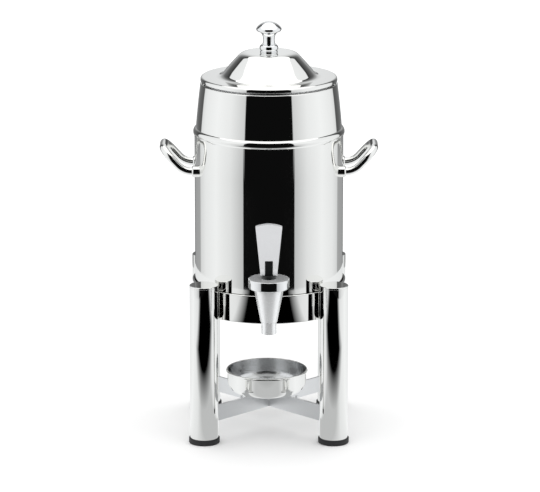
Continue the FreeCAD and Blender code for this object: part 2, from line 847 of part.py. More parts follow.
def shank_gaskets():
    """Soft saddle washers that seal the shank outside and inside the vessel's wall."""
    reach = dim.gasket_thickness * 2
    blank = rod("outer_gasket_blank", dim.shank_flange_radius, reach, 0, -flange_face, shank_z, ALONG_Y)
    wall = rod("outer_gasket_wall", dim.body_radius + dim.contact_gap, dim.shank_flange_radius * 4,
               0, 0, shank_z - dim.shank_flange_radius * 2)
    hole = rod("outer_gasket_hole", shank_hole, reach * 3, 0, -flange_face - reach, shank_z, ALONG_Y)
    fitted = without("outer_gasket_fitted", blank, wall)
    keep(without("shank_gasket_outer", fitted, hole))
    depth = dim.inner_gasket_thickness * 2
    blank = rod("inner_gasket_blank", dim.inner_gasket_radius, depth,
                0, -inner_gasket_face - depth, shank_z, ALONG_Y)
    wall = rod("inner_gasket_wall", shell_inner - dim.contact_gap, dim.inner_gasket_radius * 4,
               0, 0, shank_z - dim.inner_gasket_radius * 2)
    hole = rod("inner_gasket_hole", shank_hole, depth * 3, 0, -inner_gasket_face - depth * 2, shank_z, ALONG_Y)
    fitted = within("inner_gasket_fitted", blank, wall)
    keep(without("shank_gasket_inner", fitted, hole))


def shank_nut():
    hexagon = doc.addObject("Part::Prism", "shank_nut_blank")
    hexagon.Polygon = 6
    bind(hexagon, "Circumradius", dim.shank_nut_width / math.sqrt(3))
    bind(hexagon, "Height", dim.shank_nut_height)
    put(hexagon, 0, -inner_gasket_face, shank_z, ALONG_Y)
    hole = rod("shank_nut_hole", shank_hole, dim.shank_nut_height * 3,
               0, -inner_gasket_face - dim.shank_nut_height, shank_z, ALONG_Y)
    return without("shank_nut", hexagon, hole)


def faucet_bonnet():
    socket = dim.neck_radius + dim.thread_clearance
    socket_top = dim.neck_height + dim.thread_clearance
    roof = dim.bonnet_height - dim.bonnet_top_wall
    hole = dim.stem_radius + dim.bonnet_hole_clearance
    body = turn("faucet_bonnet", [
        (socket, 0),
        (dim.bonnet_foot_radius, 0),
        (dim.bonnet_radius, dim.bonnet_bevel),
        (dim.bonnet_radius, dim.bonnet_height - dim.bonnet_edge, left(dim.bonnet_edge)),
        (dim.bonnet_radius - dim.bonnet_edge, dim.bonnet_height),
        (hole, dim.bonnet_height),
        (hole, roof),
        (dim.spring_room_radius, roof),
        (dim.spring_room_radius, socket_top),
        (socket, socket_top),
    ])
    return put(body, 0, -faucet_reach, bonnet_z)


def stem_bushing():
    hole = dim.stem_radius + dim.stem_running_clearance
    body = turn("stem_bushing", [
        (hole, 0),
        (dim.bushing_radius, 0),
        (dim.bushing_radius, dim.bushing_height - dim.bushing_edge, left(dim.bushing_edge)),
        (dim.bushing_radius - dim.bushing_edge, dim.bushing_height),
        (hole, dim.bushing_height),
    ])
    return put(body, 0, -faucet_reach, bonnet_top)


def seat_cup():
    socket = dim.stem_radius + dim.contact_gap
    floor = dim.cup_height - dim.cup_socket
    body = turn("seat_cup", [
        (0, 0),
        (dim.cup_radius - dim.cup_edge, 0, left(dim.cup_edge)),
        (dim.cup_radius, dim.cup_edge),
        (dim.cup_radius, dim.cup_height),
        (socket, dim.cup_height),
        (socket, floor),
        (0, floor),
    ])
    return put(body, 0, -faucet_reach, cup_z)


def valve_spring():
    wire = dim.spring_wire / 2
    length = spring_high - spring_low - dim.spring_wire
    coil = doc.addObject("Part::Helix", "spring_line")
    bind(coil, "Radius", dim.spring_radius)
    bind(coil, "Height", length)
    bind(coil, "Pitch", length / dim.spring_turns)
    section = doc.addObject("Part::Circle", "spring_section")
    bind(section, "Radius", wire)
    put(section, dim.spring_radius, 0, 0, Rotation(Vector(1, 0, 0), 90))
    spring = doc.addObject("Part::Sweep", "valve_spring")
    spring.Label = "valve_spring"
    spring.Sections = [section]
    spring.Spine = (coil, [])
    spring.Solid = True
    spring.Frenet = True
    return put(spring, 0, -faucet_reach, spring_low + wire)


def valve_stem():
    start = cup_z + dim.cup_height - dim.cup_socket + dim.contact_gap
    top = pin_z - dim.head_drop + dim.stem_into_head
    stem = rod("stem_rod", dim.stem_radius, top - start, 0, -faucet_reach, start)
    return without("valve_stem", stem, pin_hole("stem_pin_hole"))


def pin_hole(label):
    length = dim.lever_fork_half_width * 4
    return rod(label, dim.pin_radius + dim.contact_gap, length, length / -2, -faucet_reach, pin_z, ALONG_X)


def stem_head():
    """The block on the stem's top that the lever's fork straddles."""
    body = new_body("stem_head")
    section = new_sketch(body, "XY_Plane")
    half = dim.head_half_width
    deep = dim.head_depth / 2
    edge = dim.head_edge
    add_outline(section, [
        (half - edge, -deep, left(edge)),
        (half, edge - deep),
        (half, deep - edge, left(edge)),
        (half - edge, deep),
        (edge - half, deep, left(edge)),
        (-half, deep - edge),
        (-half, edge - deep, left(edge)),
        (edge - half, -deep),
    ])
    pad(body, section, dim.head_rise + dim.head_drop)
    doc.recompute()
    bore(body, dim.stem_radius + dim.contact_gap, dim.stem_into_head + dim.contact_gap + dim.cut_margin,
         0, 0, -dim.cut_margin)
    bore(body, dim.pin_radius + dim.contact_gap, half * 4, half * -2, 0, dim.head_drop, ALONG_X)
    return put(body, 0, -faucet_reach, pin_z - dim.head_drop)


def lever_pin():
    half = dim.lever_fork_half_width - dim.pin_inset
    bevel = dim.pin_chamfer
    body = turn("lever_pin", [
        (0, 0),
        (dim.pin_radius - bevel, 0),
        (dim.pin_radius, bevel),
        (dim.pin_radius, half * 2 - bevel),
        (dim.pin_radius - bevel, half * 2),
        (0, half * 2),
    ])
    return put(body, -half, -faucet_reach, pin_z, ALONG_X)


def faucet_lever():
    """A paddle whose forked foot turns on the pin and lifts the stem with its cams."""
    body = new_body("faucet_lever")
    face = new_sketch(body, "XZ_Plane")
    shoulder = dim.lever_length - dim.lever_crown
    add_outline(face, [
        (-dim.lever_fork_half_width, 0),
        (dim.lever_fork_half_width, 0),
        (dim.lever_foot_half_width, dim.lever_foot_rise),
        (dim.lever_top_half_width, shoulder, left(dim.lever_crown_bow)),
        (-dim.lever_top_half_width, shoulder),
        (-dim.lever_foot_half_width, dim.lever_foot_rise),
    ])
    paddle = pad(body, face, dim.lever_thickness, both_ways=True)
    doc.recompute()
    rounded = []
    for number, edge in enumerate(paddle.Shape.Edges, start=1):
        low = min(vertex.Point.z for vertex in edge.Vertexes)
        if low > dim.lever_foot_rise.number / 2:
            rounded.append(f"Edge{number}")
    fillet = body.newObject("PartDesign::Fillet", "soft_edges")
    fillet.Base = (paddle, rounded)
    bind(fillet, "Radius", dim.lever_edge)
    cams = new_sketch(body, "YZ_Plane")
    add_outline(cams, [
        (-dim.cam_lead, -dim.cam_radius),
        (dim.cam_trail, -dim.cam_radius, left(dim.cam_radius)),
        (dim.cam_trail + dim.cam_radius, 0, left(dim.cam_radius)),
        (dim.cam_trail, dim.cam_radius),
        (-dim.cam_lead, dim.cam_radius, left(dim.cam_radius)),
        (-dim.cam_lead - dim.cam_radius, 0, left(dim.cam_radius)),
    ])
    pad(body, cams, dim.lever_fork_half_width * 2, both_ways=True)
    slot = new_sketch(body, "XZ_Plane")
    add_block(slot, fork_gap, -dim.cam_radius - dim.cut_margin, dim.head_rise + dim.slot_headroom)
    cut(body, slot, dim.lever_thickness * 3, both_ways=True)
    pivot = new_sketch(body, "YZ_Plane")
    add_circle(pivot, 0, 0, dim.pin_radius + dim.pin_running_clearance)
    cut(body, pivot, dim.lever_fork_half_width * 3, both_ways=True)
    return put(body, 0, -faucet_reach, pin_z)


# Lid

def lid_shell():
    wall = dim.lid_wall
    outer = dim.lid_radius
    brim = dim.brim_height
    rolled = outer - dim.brim_roll
    roll_low = brim - dim.brim_roll
    foot = dim.brim_inner_radius - dim.flare_run
    foot_height = brim + dim.flare_rise
    plateau_edge = plateau_height - dim.plateau_drop
    shoulder_height = plateau_height - dim.shoulder_drop
    body = turn("lid_shell", [
        (outer - wall, 0),
        (outer, 0),
        (outer, roll_low, left(dim.brim_roll)),
        (rolled, brim),
        (dim.brim_inner_radius, brim, right(dim.flare_bow)),
        (foot, foot_height, left(dim.flank_bow)),
        (dim.shoulder_radius, shoulder_height, left(dim.shoulder_bow)),
        (dim.plateau_radius, plateau_edge),
        (knob_screw_hole, plateau_height),
        (knob_screw_hole, plateau_height - wall),
        (dim.plateau_radius - wall, plateau_edge - wall, right(dim.shoulder_bow)),
        (dim.shoulder_radius - wall, shoulder_height - wall, right(dim.flank_bow)),
        (foot - wall, foot_height - wall, left(dim.flare_bow)),
        (dim.brim_inner_radius - wall, brim - wall),
        (rolled - wall, brim - wall, right(dim.brim_roll)),
        (outer - wall, roll_low - wall),
    ])
    return put(body, 0, 0, lid_base)


def lid_collar():
    radius = dim.mouth_radius - dim.lid_play
    wall = dim.collar_wall
    height = dim.collar_depth + brim_under - dim.collar_seat_gap
    flange = radius - dim.collar_flange
    body = turn("lid_collar", [
        (radius - wall, 0),
        (radius, 0),
        (radius, height),
        (flange, height),
        (flange, height - wall),
        (radius - wall, height - wall),
    ])
    return put(body, 0, 0, lid_base - dim.collar_depth)


def knob_washer():
    body = turn("knob_washer", [
        (knob_screw_hole, 0),
        (dim.knob_washer_radius, 0),
        (dim.knob_washer_radius, dim.knob_washer_thickness),
        (knob_screw_hole, dim.knob_washer_thickness),
    ])
    return put(body, 0, 0, lid_base + plateau_height)


def lid_knob():
    hole = dim.knob_screw_radius + dim.contact_gap
    hole_top = dim.knob_screw_depth + dim.knob_screw_radius
    throat = dim.knob_bulge_height + dim.knob_neck_length
    underside = throat + dim.knob_underside_rise
    edge_top = underside + dim.knob_head_edge
    crown = dim.knob_crown
    crown_bow = (dim.knob_head_radius * dim.knob_head_radius + crown * crown) / (crown * 2)
    body = turn("lid_knob", [
        (hole, 0),
        (dim.knob_base_radius, 0, left(dim.knob_bulge_bow)),
        (dim.knob_neck_radius, dim.knob_bulge_height, right(dim.knob_neck_bow)),
        (dim.knob_throat_radius, throat, right(dim.knob_underside_bow)),
        (dim.knob_underside_radius, underside, left(dim.knob_edge_bow)),
        (dim.knob_head_radius, edge_top, left(crown_bow)),
        (0, edge_top + crown),
        (0, hole_top),
        (hole, hole_top),
    ])
    return put(body, 0, 0, lid_base + plateau_height + dim.knob_washer_thickness)


def knob_screw():
    head = dim.knob_screw_head_height
    length = head + dim.contact_gap + dim.lid_wall + dim.knob_washer_thickness + dim.knob_screw_depth
    body = turn("knob_screw", [
        (0, 0),
        (dim.knob_screw_head_radius, 0),
        (dim.knob_screw_head_radius, head),
        (dim.knob_screw_radius, head),
        (dim.knob_screw_radius, length),
        (0, length),
    ])
    return put(body, 0, 0, lid_base + plateau_height - dim.lid_wall - dim.contact_gap - head)


def build():
    for name, angle in LEGS.items():
        keep(leg_tube(name, angle))
        keep(leg_cap(name, angle))
        keep(rubber_foot(name, angle))
    keep(support_ring())
    ring_screws()
    keep(cross_plate("cross_plate_lower", 45, True))
    keep(cross_plate("cross_plate_upper", 135, False))
    keep(fuel_bowl())
    keep(urn_shell())
    for name, side in SIDES.items():
        keep(side_handle(name, side))
        for end_name, end in ENDS.items():
            keep(handle_ferrule(name, side, end_name, end))
    handle_fixings()
    for make in (faucet_body, faucet_shank, shank_nut, faucet_bonnet, stem_bushing, seat_cup):
        keep(make())
    shank_gaskets()
    for make in (valve_spring, valve_stem, stem_head, lever_pin, faucet_lever):
        keep(make())
    for make in (lid_shell, lid_collar, knob_washer, lid_knob, knob_screw):
        keep(make())
    doc.recompute()


def write():
    """Check every object, then write each piece to its own file."""
    for thing in doc.Objects:
        if "Invalid" in thing.State or "Error" in thing.State:
            raise RuntimeError(f"{thing.Label} failed to build: {thing.State}")
    for piece in pieces:
        if piece.Shape.isNull() or not piece.Shape.isValid():
            raise RuntimeError(f"{piece.Label} has no valid shape")
    os.makedirs("parts", exist_ok=True)
    for piece in pieces:
        piece.Shape.exportStep(f"parts/{piece.Label}.step")
        box = piece.Shape.BoundBox
        print(f"{piece.Label}: {len(piece.Shape.Solids)} solid, {piece.Shape.Volume:.1f} mm3,"
              f" z {box.ZMin:.2f} to {box.ZMax:.2f}")


build()
write()
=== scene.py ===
import json
import math

import bpy
from bpy.props import FloatProperty, FloatVectorProperty, PointerProperty
from mathutils import Matrix, Vector


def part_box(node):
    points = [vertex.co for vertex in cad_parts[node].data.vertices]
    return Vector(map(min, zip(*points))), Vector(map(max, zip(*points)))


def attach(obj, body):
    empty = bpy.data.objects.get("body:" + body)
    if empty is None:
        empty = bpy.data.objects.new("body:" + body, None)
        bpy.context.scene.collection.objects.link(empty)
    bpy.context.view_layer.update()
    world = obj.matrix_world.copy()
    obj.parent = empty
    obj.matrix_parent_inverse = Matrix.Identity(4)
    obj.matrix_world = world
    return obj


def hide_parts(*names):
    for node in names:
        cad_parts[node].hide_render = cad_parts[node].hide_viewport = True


bl_info = {
    "name": "Coffee Urn on a Stand",
    "version": (1, 0, 0),
    "blender": (4, 5, 0),
    "location": "View3D > Sidebar > Coffee Urn",
    "description": "Models a mirror-polished coffee urn on its chafing stand, piece by piece",
    "category": "Add Mesh",
}

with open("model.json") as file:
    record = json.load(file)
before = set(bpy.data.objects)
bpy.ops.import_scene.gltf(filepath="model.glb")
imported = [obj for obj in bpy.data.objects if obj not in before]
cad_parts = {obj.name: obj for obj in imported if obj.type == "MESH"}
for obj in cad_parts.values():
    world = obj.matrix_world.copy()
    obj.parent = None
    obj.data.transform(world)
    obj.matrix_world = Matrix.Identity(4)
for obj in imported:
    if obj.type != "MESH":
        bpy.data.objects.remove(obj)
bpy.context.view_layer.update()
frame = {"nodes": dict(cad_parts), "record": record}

MM = 0.001
LEG_NAMES = ("front_left", "front_right", "rear_right", "rear_left")
SIDE_SIGNS = {"left": -1, "right": 1}
END_NAMES = ("front", "rear")
SPIN_STEPS = 192
SMALL_SPIN_STEPS = 96
BEND_STEPS = 24
ROD_SIDES = 48
CARD_SIDES = 128
BOW_STEP = math.radians(5)
FEWEST_BOW_STEPS = 4
HOLD = 0.5 * MM
LONG_RUN = 6 * HOLD
MERGE_DISTANCE = MM / 1000
SMOOTH_ANGLE = math.radians(32)
BEVEL_ANGLE = math.radians(40)
# How far a face's normal points up for the bonnet's flat top and for the bowl's floor
FLAT_TOP_NORMAL = 0.9
BOWL_FLOOR_NORMAL = 0.5

# The studio, in metres
FLOOR_WIDTH = 40
WORLD_STRENGTH = 1.3
TENT_RADIUS = 0.8
TENT_HEIGHT = 1.3
TENT_MIDDLE = 0.68
MAT_RADIUS = 1.3
MAT_LIFT = 0.001
# Where the tent's low panels turn into the high ones, and the high ones into the top ones
TENT_RISE = (0.2, 0.3)
TENT_CREST = (0.5, 0.56)
# Where the mat turns from black to grey, towards its sides and towards the stand
MAT_SIDES = (0.42, 0.58)
MAT_NEAR = (-0.46, -0.27)
CAMERA_PLACE = (0.00146, -4.4296, 1.3468)
CAMERA_DOWN = math.radians(13.9)
CAMERA_LENS = 224.57
SENSOR_WIDTH = 36
# Red, green and blue shares of the panels' grey, a little cool
PANEL_TINT = (0.985, 1, 1.01)
# Grey levels of the studio's panels: degrees from the front, and brightness
LOW_PANELS = ((1, 0.004), (37.5, 0.004), (38, 0.55), (58, 0.82), (85, 0.97), (110, 0.88), (126, 0.72),
              (128, 0.4), (157, 0.34), (160, 0.1), (179, 0.06))
HIGH_PANELS = ((1, 0.004), (35.5, 0.004), (36, 0.68), (60, 0.92), (85, 1), (115, 0.9), (126, 0.78),
               (128, 0.09), (150, 0.16), (161, 0.3), (179, 0.06))
TOP_PANELS = ((1, 0.004), (35.5, 0.004), (36, 0.9), (60, 1), (126, 0.9), (128, 0.03), (145, 0.14),
              (157, 0.4), (165, 0.7), (179, 0.86))
FLOOR_PANELS = ((1, 0.56), (30, 0.56), (48, 0.85), (85, 1), (130, 0.9), (179, 0.75))


# Sizes and colours

def linear(hex_colour):
    """An sRGB hex colour as linear red, green and blue."""
    values = [int(hex_colour[place:place + 2], 16) / 255 for place in (1, 3, 5)]
    return [value / 12.92 if value <= 0.04045 else ((value + 0.055) / 1.055) ** 2.4 for value in values]


def length(name, description, metres):
    return FloatProperty(name=name, description=description, default=metres, unit="LENGTH", precision=5)


def colour(name, description, hex_colour):
    return FloatVectorProperty(name=name, description=description, default=linear(hex_colour),
                               subtype="COLOR", min=0, max=1)


def cad_low(node):
    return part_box(node)[0]


def cad_high(node):
    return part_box(node)[1]


def cad_middle(node):
    low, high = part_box(node)
    return (low + high) / 2


def cad_size(node):
    low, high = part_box(node)
    return high - low


class VesselSizes(bpy.types.PropertyGroup):
    """Sizes of the vessel's shell and its handles."""

    radius: length("Radius", "Outside radius of the straight wall", 100 * MM)
    wall: length("Wall", "Thickness of the drawn sheet", 1.2 * MM)
    base_corner: length("Base corner", "Outside radius between base and wall", 8 * MM)
    bead_height: length("Bead height", "Middle of the bead above the base", 239.4 * MM)
    bead_half_width: length("Bead half width", "Half the height of the bead", 5.2 * MM)
    bead_bow: length("Bead bow", "Radius of the bead's round", 6.6 * MM)
    shoulder_step: length("Shoulder step", "How much narrower the wall is above the bead", 2 * MM)
    mouth_outer: length("Mouth outer radius", "Outside radius just under the lid", 92 * MM)
    mouth_inner: length("Mouth inner radius", "Radius of the opening", 86 * MM)
    mouth_corner: length("Mouth corner", "Outside radius of the mouth's edge", 2.2 * MM)
    taper_bow: length("Taper bow", "Radius of the gentle inward curve above the bead", 1200 * MM)
    rod_radius: length("Handle rod", "Radius of the handle's rod", 5.1 * MM)
    handle_half_span: length("Handle half span", "From the middle of a handle to a root's axis", 31.3 * MM)
    handle_rise: length("Handle rise", "Rise from a handle's root to its tip", 29.6 * MM)
    handle_knee: length("Handle knee", "From the urn's axis to the bend at the root", 114.3 * MM)
    handle_reach: length("Handle reach", "From the urn's axis to the handle's tip", 141.4 * MM)
    knee_bend: length("Knee bend", "Bend radius near the root", 25 * MM)
    ferrule_edge: length("Ferrule edge", "Rounding of the collars at the handles' roots", 2.4 * MM)
    ferrule_grip: length("Ferrule grip", "How much tighter than the rod the collars are bored", 0.05 * MM)
    tip_bend: length("Tip bend", "Bend radius at the tip's corners", 18 * MM)


class LidSizes(bpy.types.PropertyGroup):
    """Sizes of the lid and its knob."""

    radius: length("Radius", "Outside radius of the brim", 91.6 * MM)
    wall: length("Wall", "Thickness of the spun sheet", 1 * MM)
    brim_height: length("Brim height", "Top of the brim above the lid's edge", 8.2 * MM)
    brim_roll: length("Brim roll", "Radius of the brim's rolled edge", 3.4 * MM)
    seam: length("Seam", "Height of the brim's edge over the mouth, which shows as a dark line", 2.1 * MM)
    edge_roll: length("Edge roll", "Rounding of the brim's lower edge", 0.9 * MM)
    brim_inner: length("Brim inner radius", "Where the dome starts to rise", 70.7 * MM)
    flare_run: length("Flare run", "Width of the small sweep at the dome's foot", 9 * MM)
    flare_rise: length("Flare rise", "Height of the small sweep at the dome's foot", 4.1 * MM)
    flare_bow: length("Flare bow", "Radius of the small sweep", 12 * MM)
    flank_bow: length("Flank bow", "Radius of the dome's flank", 400 * MM)
    dome_height: length("Dome height", "Rise of the dome above the brim", 33.2 * MM)
    shoulder_radius: length("Shoulder radius", "Where the flank turns over", 41.4 * MM)
    shoulder_drop: length("Shoulder drop", "Depth of that place under the top", 5.7 * MM)
    shoulder_bow: length("Shoulder bow", "Radius of the turn", 16 * MM)
    plateau_radius: length("Plateau radius", "Radius of the nearly flat top", 30 * MM)
    plateau_drop: length("Plateau drop", "Fall of the top from its middle to its edge", 0.3 * MM)
    knob_base: length("Knob base radius", "Radius of the knob's foot", 10.9 * MM)
    knob_bulge_height: length("Knob bulge height", "Height of the bulge over the knob's foot", 8.8 * MM)
    knob_bulge_bow: length("Knob bulge bow", "Radius of the bulge's curve", 5.2 * MM)
    knob_neck_length: length("Knob neck length", "Height from the bulge to the head", 13.3 * MM)
    knob_neck_bow: length("Knob neck bow", "Radius of the neck's hollow", 17 * MM)
    knob_underside_rise: length("Knob underside rise", "Height of the head's underside", 3.9 * MM)
    knob_underside_bow: length("Knob underside bow", "Radius of the underside's hollow", 8 * MM)
    knob_edge_bow: length("Knob edge bow", "Radius of the head's rounded edge", 3.3 * MM)
    knob_crown: length("Knob crown", "Height of the knob's crown", 8 * MM)
    knob_neck: length("Knob neck radius", "Radius where the bulge meets the neck", 8.7 * MM)
    knob_throat: length("Knob throat radius", "Radius where the neck meets the head", 9.4 * MM)
    knob_underside: length("Knob underside radius", "Radius of the head's underside", 15 * MM)
    knob_head: length("Knob head radius", "Radius where the crown starts", 16 * MM)
    washer_edge: length("Washer edge", "Rounding of the washer under the knob", 0.6 * MM)


class FaucetSizes(bpy.types.PropertyGroup):
    """Sizes of the faucet and its lever."""

    nozzle_length: length("Nozzle length", "Length of the straight spout", 16.5 * MM)
    nozzle_radius: length("Nozzle radius", "Outside radius of the spout", 10.25 * MM)
    outlet_radius: length("Outlet radius", "Bore of the spout", 7 * MM)
    cone_length: length("Cone length", "Height of the tapered body", 44 * MM)
    cone_foot: length("Cone foot radius", "Radius of the tapered body's foot", 11.2 * MM)
    cone_top: length("Cone top radius", "Radius of the tapered body's top", 19.4 * MM)
    spout_lip: length("Spout lip", "Rounding of the spout's edges", 0.4 * MM)
    cone_rim: length("Cone rim", "Rounding of the tapered body's upper edge", 0.8 * MM)
    neck_radius: length("Neck radius", "Radius of the threaded neck under the bonnet", 17 * MM)
    chamber_radius: length("Chamber radius", "Bore of the valve's chamber", 13.5 * MM)
    seat_height: length("Seat height", "Valve seat above the spout's end", 40 * MM)
    boss_radius: length("Boss radius", "Radius of the branch to the shank", 9 * MM)
    boss_reach: length("Boss reach", "From the faucet's axis to the branch's end", 26 * MM)
    boss_height: length("Boss height", "Branch's axis above the spout's end", 51 * MM)
    boss_bore: length("Boss bore", "Bore of the branch", 6.55 * MM)
    boss_depth: length("Boss depth", "Depth of the branch's bore", 9 * MM)
    boss_root: length("Boss root", "From the faucet's axis to the branch's root", 15 * MM)
    boss_step: length("Boss step", "Width of the step at the branch's root", 2 * MM)
    bonnet_bore: length("Bonnet bore", "Radius of the bonnet's thread", 17.1 * MM)
    bonnet_depth: length("Bonnet depth", "Depth of the bonnet's thread", 6.1 * MM)
    bonnet_hollow: length("Bonnet hollow", "Radius of the space for the spring", 12 * MM)
    bonnet_roof: length("Bonnet roof", "Thickness of the bonnet's top", 3 * MM)
    bonnet_play: length("Bonnet play", "Gap round the stem in the bonnet's top", 0.7 * MM)
    bonnet_roll: length("Bonnet roll", "Rounding above the bonnet's bevel", 1.2 * MM)
    gland_play: length("Gland play", "Gap round the stem in the gland", 0.08 * MM)
    gland_edge: length("Gland edge", "Rounding of the gland's upper edge", 0.8 * MM)
    bonnet_foot: length("Bonnet foot radius", "Radius of the bonnet's lower face", 20 * MM)
    bonnet_bevel: length("Bonnet bevel", "Height of the bonnet's lower bevel", 1.8 * MM)
    bonnet_edge: length("Bonnet edge", "Radius of the bonnet's upper edge", 1 * MM)
    stem_radius: length("Stem radius", "Radius of the valve's stem", 3.5 * MM)
    lever_top: length("Lever top half width", "Half width under the crown", 17.5 * MM)
    lever_foot: length("Lever foot half width", "Half width at the fork", 11.4 * MM)
    lever_crown: length("Lever crown", "Rise of the rounded top", 3.4 * MM)
    lever_crown_bow: length("Lever crown bow", "Radius of the rounded top", 47 * MM)
    lever_edge: length("Lever edge", "Rounding of the paddle's edges", 1.6 * MM)
    lever_thickness: length("Lever thickness", "Thickness of the paddle", 11 * MM)
    slot_half_width: length("Slot half width", "Half the gap between the fork's arms", 5.25 * MM)
    slot_height: length("Slot height", "Top of the fork's gap above the pin", 14.8 * MM)
    fork_drop: length("Fork drop", "How far the fork's arms reach below the pin", 1 * MM)
    fork_flare: length("Fork flare", "Widening of the fork above the pin", 0.35 * MM)
    fork_flare_height: length("Fork flare height", "Height of the flare above the pin", 3.4 * MM)
    cam_edge: length("Cam edge", "Rounding of the feet's edges", 0.4 * MM)
    cam_inset: length("Cam inset", "How far the feet stand in from the fork's sides", 0.02 * MM)
    cam_radius: length("Cam radius", "Radius of the fork's rounded feet", 5 * MM)
    cam_lead: length("Cam lead", "How far the feet lean forward of the pin", 3.5 * MM)
    cam_trail: length("Cam trail", "How far the feet lean behind the pin", 0.5 * MM)


class StandSizes(bpy.types.PropertyGroup):
    """Sizes of the stand and the fuel bowl."""

    leg_wall: length("Leg wall", "Wall of the leg's tube", 1.5 * MM)
    tube_edge: length("Tube edge", "Rounding of the leg tube's ends", 0.25 * MM)
    plug_play: length("Plug play", "Gap between the tube and the plugs of caps and feet", 0.15 * MM)
    cap_edge: length("Cap edge", "Rounding of the leg cap", 1 * MM)
    cap_seam: length("Cap seam", "Rounding of the leg cap where it meets the tube", 0.2 * MM)
    cap_plug: length("Cap plug", "Depth of the cap's plug in the tube", 9 * MM)
    foot_edge: length("Foot edge", "Rounding of the foot's lower edge", 1.5 * MM)
    foot_height: length("Foot height", "Height of the foot below the tube", 7.3 * MM)
    foot_rim: length("Foot rim", "Rounding of the foot's upper edge", 0.6 * MM)
    foot_recess: length("Foot recess radius", "Radius of the hollow under the foot", 12 * MM)
    foot_recess_depth: length("Foot recess depth", "Depth of the hollow under the foot", 1.5 * MM)
    ring_wall: length("Ring wall", "Thickness of the ring", 2.5 * MM)
    ring_lip: length("Ring lip", "Rounding of the ring's upper edge", 1 * MM)
    ledge_width: length("Ledge width", "Width of the ledge that the vessel stands on", 17 * MM)
    weld_radius: length("Weld radius", "Half width of the weld where the plates cross", 1.3 * MM)
    weld_rise: length("Weld rise", "Height of the weld's foot over the plates' lower edge", 9 * MM)
    weld_height: length("Weld height", "Height of the weld where the plates cross", 10 * MM)
    weld_offset: length("Weld offset", "Distance from the crossing's middle to the weld", 2.4 * MM)
    weld_round: length("Weld rounding", "Rounding of the weld's ends", 0.9 * MM)
    bowl_radius: length("Bowl radius", "Outside radius of the bowl's wall", 53.7 * MM)
    bowl_wall: length("Bowl wall", "Thickness of the bowl", 1 * MM)
    bowl_corner: length("Bowl corner", "Outside radius between base and wall", 15 * MM)
    bowl_lip: length("Bowl lip", "Radius of the rolled lip", 2 * MM)
    bowl_inner_edge: length("Bowl inner edge", "Rounding where the lip meets the inside", 0.4 * MM)


class Finishes(bpy.types.PropertyGroup):
    """Colours of the materials."""

    mirror_steel: colour("Mirror steel", "Polished stainless steel", "#F3F3F1")
    satin_steel: colour("Satin steel", "Brushed stainless steel", "#E6E7E8")
    chrome: colour("Chrome", "Bright chrome plate", "#F1F2F3")
    satin_chrome: colour("Satin chrome", "Blasted chrome plate", "#F0F1F2")
    fastener_steel: colour("Fastener steel", "Turned steel", "#B4B3B0")
    foot_rubber: colour("Foot rubber", "Moulded black rubber", "#1B1C1E")
    seal_rubber: colour("Seal rubber", "Soft silicone", "#9C9A96")
    lever_plastic: colour("Lever plastic", "Moulded pale plastic", "#C9CACC")
    black_plastic: colour("Black plastic", "Moulded black plastic", "#17181A")
    floor: colour("Floor", "Plain pale floor", "#F4F4F4")


# Materials

def add_node(tree, kind, settings=None, links=None, **attributes):
    """Add a node: attributes set its options, settings its sockets and links its inputs from other nodes."""
    node = tree.nodes.new(kind)
    for name, value in attributes.items():
        setattr(node, name, value)
    for socket, value in (settings or {}).items():
        node.inputs[socket].default_value = value
    for socket, (source, output) in (links or {}).items():
        tree.links.new(source.outputs[output], node.inputs[socket])
    return node


def per_metre(millimetres):
    """A texture scale that repeats about once in a real size."""
    return 1 / (millimetres * MM)


def start_material(name, base, metallic, roughness):
    material = bpy.data.materials.new(name)
    material.use_nodes = True
    tree = material.node_tree
    shader = tree.nodes["Principled BSDF"]
    shader.inputs["Base Color"].default_value = (*base, 1)
    shader.inputs["Metallic"].default_value = metallic
    shader.inputs["Roughness"].default_value = roughness
    coords = add_node(tree, "ShaderNodeTexCoord")
    return material, tree, shader, coords


def vary_roughness(tree, shader, texture, smooth, rough, span=(0, 1)):
    """Let a span of a texture's values drive the roughness from smooth to rough."""
    spread = add_node(tree, "ShaderNodeMapRange",
                      {"From Min": span[0], "From Max": span[1], "To Min": smooth, "To Max": rough},
                      {"Value": (texture, "Fac")})
    tree.links.new(spread.outputs["Result"], shader.inputs["Roughness"])


def raise_relief(tree, shader, texture, strength, depth=0.1 * MM):
    """Let a texture raise a fine relief."""
    bump = add_node(tree, "ShaderNodeBump", {"Strength": strength, "Distance": depth},
                    {"Height": (texture, "Fac")})
    tree.links.new(bump.outputs["Normal"], shader.inputs["Normal"])


def mirror_polished_stainless():
    """Drawn stainless steel, buffed to a mirror: clear reflections with a breath of haze and hairlines."""
    finish = bpy.context.scene.urn_finishes
    material, tree, shader, coords = start_material("mirror_polished_stainless", finish.mirror_steel, 1, 0.03)
    haze = add_node(tree, "ShaderNodeTexNoise", {"Scale": per_metre(55), "Detail": 3},
                    {"Vector": (coords, "Object")})
    vary_roughness(tree, shader, haze, 0.018, 0.05, (0.35, 0.7))
    # Buffing hairlines run round the piece; they are drawn at 0.8 mm so that they show at all
    stretched = add_node(tree, "ShaderNodeMapping", {"Scale": (6, 6, per_metre(0.8))},
                         {"Vector": (coords, "Object")})
    hairs = add_node(tree, "ShaderNodeTexNoise", {"Scale": 1, "Detail": 2}, {"Vector": (stretched, "Vector")})
    raise_relief(tree, shader, hairs, 0.012)
    return material


